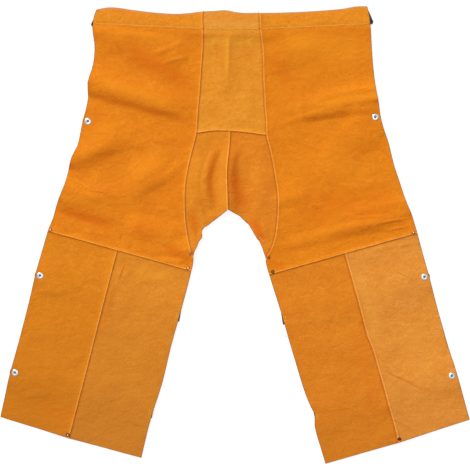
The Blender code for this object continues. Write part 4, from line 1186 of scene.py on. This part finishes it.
def add_fitting(node, panel, head, foot, steps, finishes, middle):
    """A fitting with its head seated on a panel, its second finish inside the middle's radius."""
    low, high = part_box(node)
    x, y = (low.x + high.x) / 2, (low.y + high.y) / 2
    seat = seat_on(leather[panel], x, y, head[-2].radius * MM) / MM
    profile = [(turn.radius, seat + turn.height) for turn in head]
    profile += [(turn.radius, low.z / MM + turn.height) for turn in foot]
    piece = turned_piece(f"metal_{node}", profile, steps)
    dress(piece, *finishes)
    for face in piece.data.polygons:
        if math.hypot(face.center.x, face.center.y) < middle * MM and face.center.z > seat * MM:
            face.material_index = 1
    piece.data.transform(Matrix.Translation((x, y, 0.0)))
    return piece


class APRON_OT_ring_studs(Operator):
    """Build the ring studs that hold the strap tabs at the outer edges"""

    bl_idname = "apron.ring_studs"
    bl_label = "Ring studs"

    def execute(self, context):
        settings = context.scene.apron_hardware
        plate = metal_material("stud plate", settings.plate, 0.24)
        hollow = dull_material("stud hollow", settings.hollow, 0.6, 700.0)
        for name, studded, _ in LEG_STRAPS:
            node = f"stud_{name}"
            piece = add_fitting(
                node, studded, STUD_HEAD, STUD_FOOT, settings.steps, (plate, hollow), STUD_MIDDLE)
            finish_piece(piece, node)
        return {"FINISHED"}


class APRON_OT_seam_rivets(Operator):
    """Build the small rivets where seams meet an edge"""

    bl_idname = "apron.seam_rivets"
    bl_label = "Seam rivets"

    def execute(self, context):
        settings = context.scene.apron_hardware
        finishes = {
            # A bright middle is a painted highlight
            "bright": metal_material("rivet plate", settings.bright, 0.3),
            "brown": metal_material("rivet worn to copper", settings.brown, 0.5),
            "pale": dull_material("rivet faded", settings.pale, 0.6, 900.0),
            "dark": dull_material("rivet tarnished", settings.dark, 0.45, 900.0),
        }
        for name, panel, middle, rim in RIVETS:
            node = f"rivet_{name}"
            worn = (finishes[rim], finishes[middle])
            piece = add_fitting(node, panel, RIVET_HEAD, RIVET_FOOT, settings.steps, worn, RIVET_MIDDLE)
            finish_piece(piece, node)
        return {"FINISHED"}


def stitch_mesh(length, radius):
    """One stitch of thread along X, drawn down at both ends."""
    bpy.ops.mesh.primitive_cylinder_add(
        vertices=8, radius=radius, depth=length, rotation=(0.0, math.pi / 2, 0.0))
    piece = bpy.context.active_object
    apply_place()
    with edit_mode(piece):
        for share in (-0.3, 0.0, 0.3):
            bpy.ops.mesh.select_all(action="SELECT")
            bpy.ops.mesh.bisect(plane_co=(share * length, 0.0, 0.0), plane_no=(1.0, 0.0, 0.0))
    for vertex in piece.data.vertices:
        share = abs(vertex.co.x) / (length / 2)
        thinner = 1.0 - STITCH_THINNER * share ** 3
        vertex.co.y *= thinner
        vertex.co.z = vertex.co.z * thinner - radius * STITCH_DRAWN * share ** 2
    mesh = piece.data
    bpy.data.objects.remove(piece, do_unlink=True)
    return mesh


def stitch_place(place, angle, trees, lift):
    """Where a stitch lies on the highest of some leather surfaces, or None off the leather."""
    found = [top_at(tree, place.x, place.y) for tree in trees]
    found = [(spot, facing) for spot, facing in found if spot]
    if not found:
        return None
    spot, facing = max(found, key=lambda pair: pair[0].z)
    if facing.z < 0:
        facing = -facing
    along = Vector((math.cos(angle), math.sin(angle), 0.0))
    along = (along - facing * along.dot(facing)).normalized()
    turn = Matrix((along, facing.cross(along), facing)).transposed().to_4x4()
    return Matrix.Translation(spot + facing * lift) @ turn


def sewn_row(name, runs, trees, settings, thread):
    """Stitches along straight runs on the leather, a little uneven, joined into one mesh."""
    stitch = stitch_mesh(settings.stitch, settings.radius)
    joined = bmesh.new()
    pitch = settings.stitch + settings.gap
    for number, (start, end) in enumerate(runs):
        way = (end - start).normalized()
        for index in range(max(1, int((end - start).length / pitch))):
            wander = noise.noise(Vector((index * 0.9, number * 7.3, 2.0)))
            place = start + way * (pitch * (index + 0.5 + STITCH_SPACING * wander))
            place = place + Vector((-way.y, way.x)) * wander * STITCH_WANDER * MM
            angle = math.atan2(way.y, way.x) + STITCH_TURN * wander
            laid = stitch_place(place, angle, trees, settings.radius * STITCH_RAISED)
            if laid:
                copy = stitch.copy()
                copy.transform(laid)
                joined.from_mesh(copy)
                bpy.data.meshes.remove(copy)
    mesh = bpy.data.meshes.new(name)
    joined.to_mesh(mesh)
    joined.free()
    bpy.data.meshes.remove(stitch)
    piece = add_piece(name, mesh)
    dress(piece, thread)
    shade_smooth(piece)
    finish_piece(piece)


class APRON_OT_sewing(Operator):
    """Sew the waist hem, its left end and the ends of the leg straps"""

    bl_idname = "apron.sewing"
    bl_label = "Sewing"

    def execute(self, context):
        settings = context.scene.apron_sewing
        thread = dull_material("sewing thread", settings.colour, 0.7, 1500.0)
        waist = [leather[node] for node in ("thigh_panel_left", "front_yoke", "thigh_panel_right")]
        line = [Vector(place) * MM for place in WAIST_STITCH]
        hem = [(line[0] + STITCH_INSET, line[1] - STITCH_INSET * 2),
               (line[1] + STITCH_INSET, line[2] - STITCH_INSET),
               (line[2] + STITCH_INSET * 2, line[3] - STITCH_INSET)]
        sewn_row("stitches_waist_hem", hem, waist, settings, thread)
        for name, table in (("hem_end", HEM_END), ("hem_knot", HEM_KNOT)):
            runs = [(Vector((run.x0, run.y0)) * MM, Vector((run.x1, run.y1)) * MM) for run in table]
            sewn_row(f"stitches_{name}", runs, waist, settings, thread)
        for name, _, sewn in LEG_STRAPS:
            low, far_low, high, far_high = (corner.to_2d() for corner in strip_corners(f"strap_{name}"))
            side = name.split("_")[1]
            if side == "left":
                low, far_low, high = far_low, low, far_high
            inward = (far_low - low).normalized()
            start, end = low.lerp(high, STRAP_MARGIN), low.lerp(high, 1 - STRAP_MARGIN)
            runs = [(start + inward * away * MM, end + inward * away * MM) for away in STRAP_STITCHES]
            trees = [leather[sewn], leather[f"thigh_panel_{side}"]]
            sewn_row(f"stitches_strap_{name}", runs, trees, settings, thread)
        return {"FINISHED"}


class APRON_OT_thread_ends(Operator):
    """Leave a few loose thread ends where seams finish"""

    bl_idname = "apron.thread_ends"
    bl_label = "Thread ends"

    def execute(self, context):
        thread = dull_material("loose thread", context.scene.apron_sewing.loose, 0.8, 1500.0)
        for number, end in enumerate(THREAD_ENDS):
            angle = math.radians(end.angle)
            way = Vector((math.cos(angle), math.sin(angle), 0.0)) * end.length * MM
            bend = Vector((-way.y, way.x, 0.0)) * 0.25 * (1 if number % 2 else -1)
            start = Vector((end.x, end.y, THREAD_HEIGHT)) * MM
            bpy.ops.curve.primitive_bezier_curve_add()
            curve = set_all(context.active_object, name=f"thread_end_{number + 1}")
            first, last = curve.data.splines[0].bezier_points
            first.co, last.co = start, start + way + bend
            first.handle_left, first.handle_right = start - way * 0.3, start + way * 0.4
            last.handle_left, last.handle_right = last.co - way * 0.3 - bend, last.co + way * 0.2 + bend
            set_all(curve.data, bevel_depth=LOOSE_RADIUS, bevel_resolution=2, use_fill_caps=True)
            bpy.ops.object.convert(target="MESH")
            piece = context.active_object
            apply_place()
            with edit_mode(piece):
                bpy.ops.mesh.remove_doubles(threshold=WELD)
            dress(piece, thread)
            finish_piece(piece)
        return {"FINISHED"}


def add_floor(settings):
    """The pale floor that the garment lies on."""
    bpy.ops.mesh.primitive_plane_add(size=FLOOR_SIZE, location=(0.0, 0.0, -FLOOR_DROP))
    floor = set_all(bpy.context.active_object, name="studio_floor")
    material, tree, shader = new_material("studio floor")
    feed(tree, shader, {
        "Base Color": with_alpha(settings.floor), "Roughness": 0.9, "Specular IOR Level": 0.0,
        "Emission Color": (1.0, 1.0, 1.0, 1.0), "Emission Strength": settings.glow,
    })
    dress(floor, material)


def add_sky(settings):
    """Warm, weak light from all around, which metal mirrors as a bright room."""
    world = bpy.data.worlds.new("studio sky")
    world.use_nodes = True
    tree = world.node_tree
    filling = add_node(tree, "ShaderNodeLightPath").outputs["Is Diffuse Ray"]
    feed(tree, tree.nodes["Background"], {
        "Color": mixed(tree, filling, with_alpha(settings.shine), with_alpha(settings.sky)),
        "Strength": spread(tree, filling, 0.0, 1.0, 1.0, settings.fill),
    })
    bpy.context.scene.world = world


class APRON_OT_stage(Operator):
    """Set the pale floor, the soft lights and the camera straight above"""

    bl_idname = "apron.stage"
    bl_label = "Stage"

    def execute(self, context):
        settings = context.scene.apron_stage
        add_floor(settings)
        add_sky(settings)
        bpy.ops.object.light_add(
            type="SUN", location=KEY_PLACE, rotation=(-KEY_PLACE).to_track_quat("-Z", "Y").to_euler())
        key = set_all(context.active_object, name="key_light")
        set_all(key.data, energy=settings.key, angle=KEY_SPREAD)
        bpy.ops.object.light_add(type="AREA", location=(0.0, 0.0, TOP_HEIGHT))
        top = set_all(context.active_object, name="top_light")
        set_all(top.data, energy=settings.top, shape="RECTANGLE", size=TOP_SIZE, size_y=TOP_SIZE)
        distance = settings.width * settings.lens / SENSOR
        bpy.ops.object.camera_add(location=(0.0, 0.0, distance), rotation=(0.0, 0.0, 0.0))
        camera = set_all(context.active_object, name="camera_above")
        set_all(camera.data, lens=settings.lens, sensor_width=SENSOR)
        context.scene.camera = camera
        context.scene.view_settings.view_transform = "Standard"
        return {"FINISHED"}


class APRON_PT_sidebar(Panel):
    """Lists the steps that build the apron"""

    bl_idname = "APRON_PT_sidebar"
    bl_label = "Welding apron"
    bl_space_type = "VIEW_3D"
    bl_region_type = "UI"
    bl_category = "Apron"

    def draw(self, context):
        for operator in OPERATORS:
            self.layout.operator(operator.bl_idname)
        for name in SETTINGS:
            self.layout.separator()
            settings = getattr(context.scene, name)
            for key in settings.__annotations__:
                self.layout.prop(settings, key)


OPERATORS = (
    APRON_OT_leather_panels, APRON_OT_leg_straps, APRON_OT_strap_tabs, APRON_OT_waist_belt,
    APRON_OT_belt_buckle, APRON_OT_ring_studs, APRON_OT_seam_rivets, APRON_OT_sewing,
    APRON_OT_thread_ends, APRON_OT_stage,
)
SETTINGS = {
    "apron_leather": ApronLeatherSettings, "apron_sewing": ApronSewingSettings,
    "apron_hardware": ApronHardwareSettings, "apron_webbing": ApronWebbingSettings,
    "apron_stage": ApronStageSettings,
}


def register():
    """Make the settings, operators and sidebar panel known to Blender."""
    for name, group in SETTINGS.items():
        bpy.utils.register_class(group)
        setattr(bpy.types.Scene, name, PointerProperty(type=group))
    for operator in OPERATORS:
        bpy.utils.register_class(operator)
    bpy.utils.register_class(APRON_PT_sidebar)


def unregister():
    """Take them out again."""
    bpy.utils.unregister_class(APRON_PT_sidebar)
    for operator in reversed(OPERATORS):
        bpy.utils.unregister_class(operator)
    for name, group in SETTINGS.items():
        delattr(bpy.types.Scene, name)
        bpy.utils.unregister_class(group)


def main():
    """Build the apron and its stage."""
    register()
    bpy.ops.apron.leather_panels()
    bpy.ops.apron.leg_straps()
    bpy.ops.apron.strap_tabs()
    bpy.ops.apron.waist_belt()
    bpy.ops.apron.belt_buckle()
    bpy.ops.apron.ring_studs()
    bpy.ops.apron.seam_rivets()
    bpy.ops.apron.sewing()
    bpy.ops.apron.thread_ends()
    bpy.ops.apron.stage()


if __name__ == "__main__":
    main()
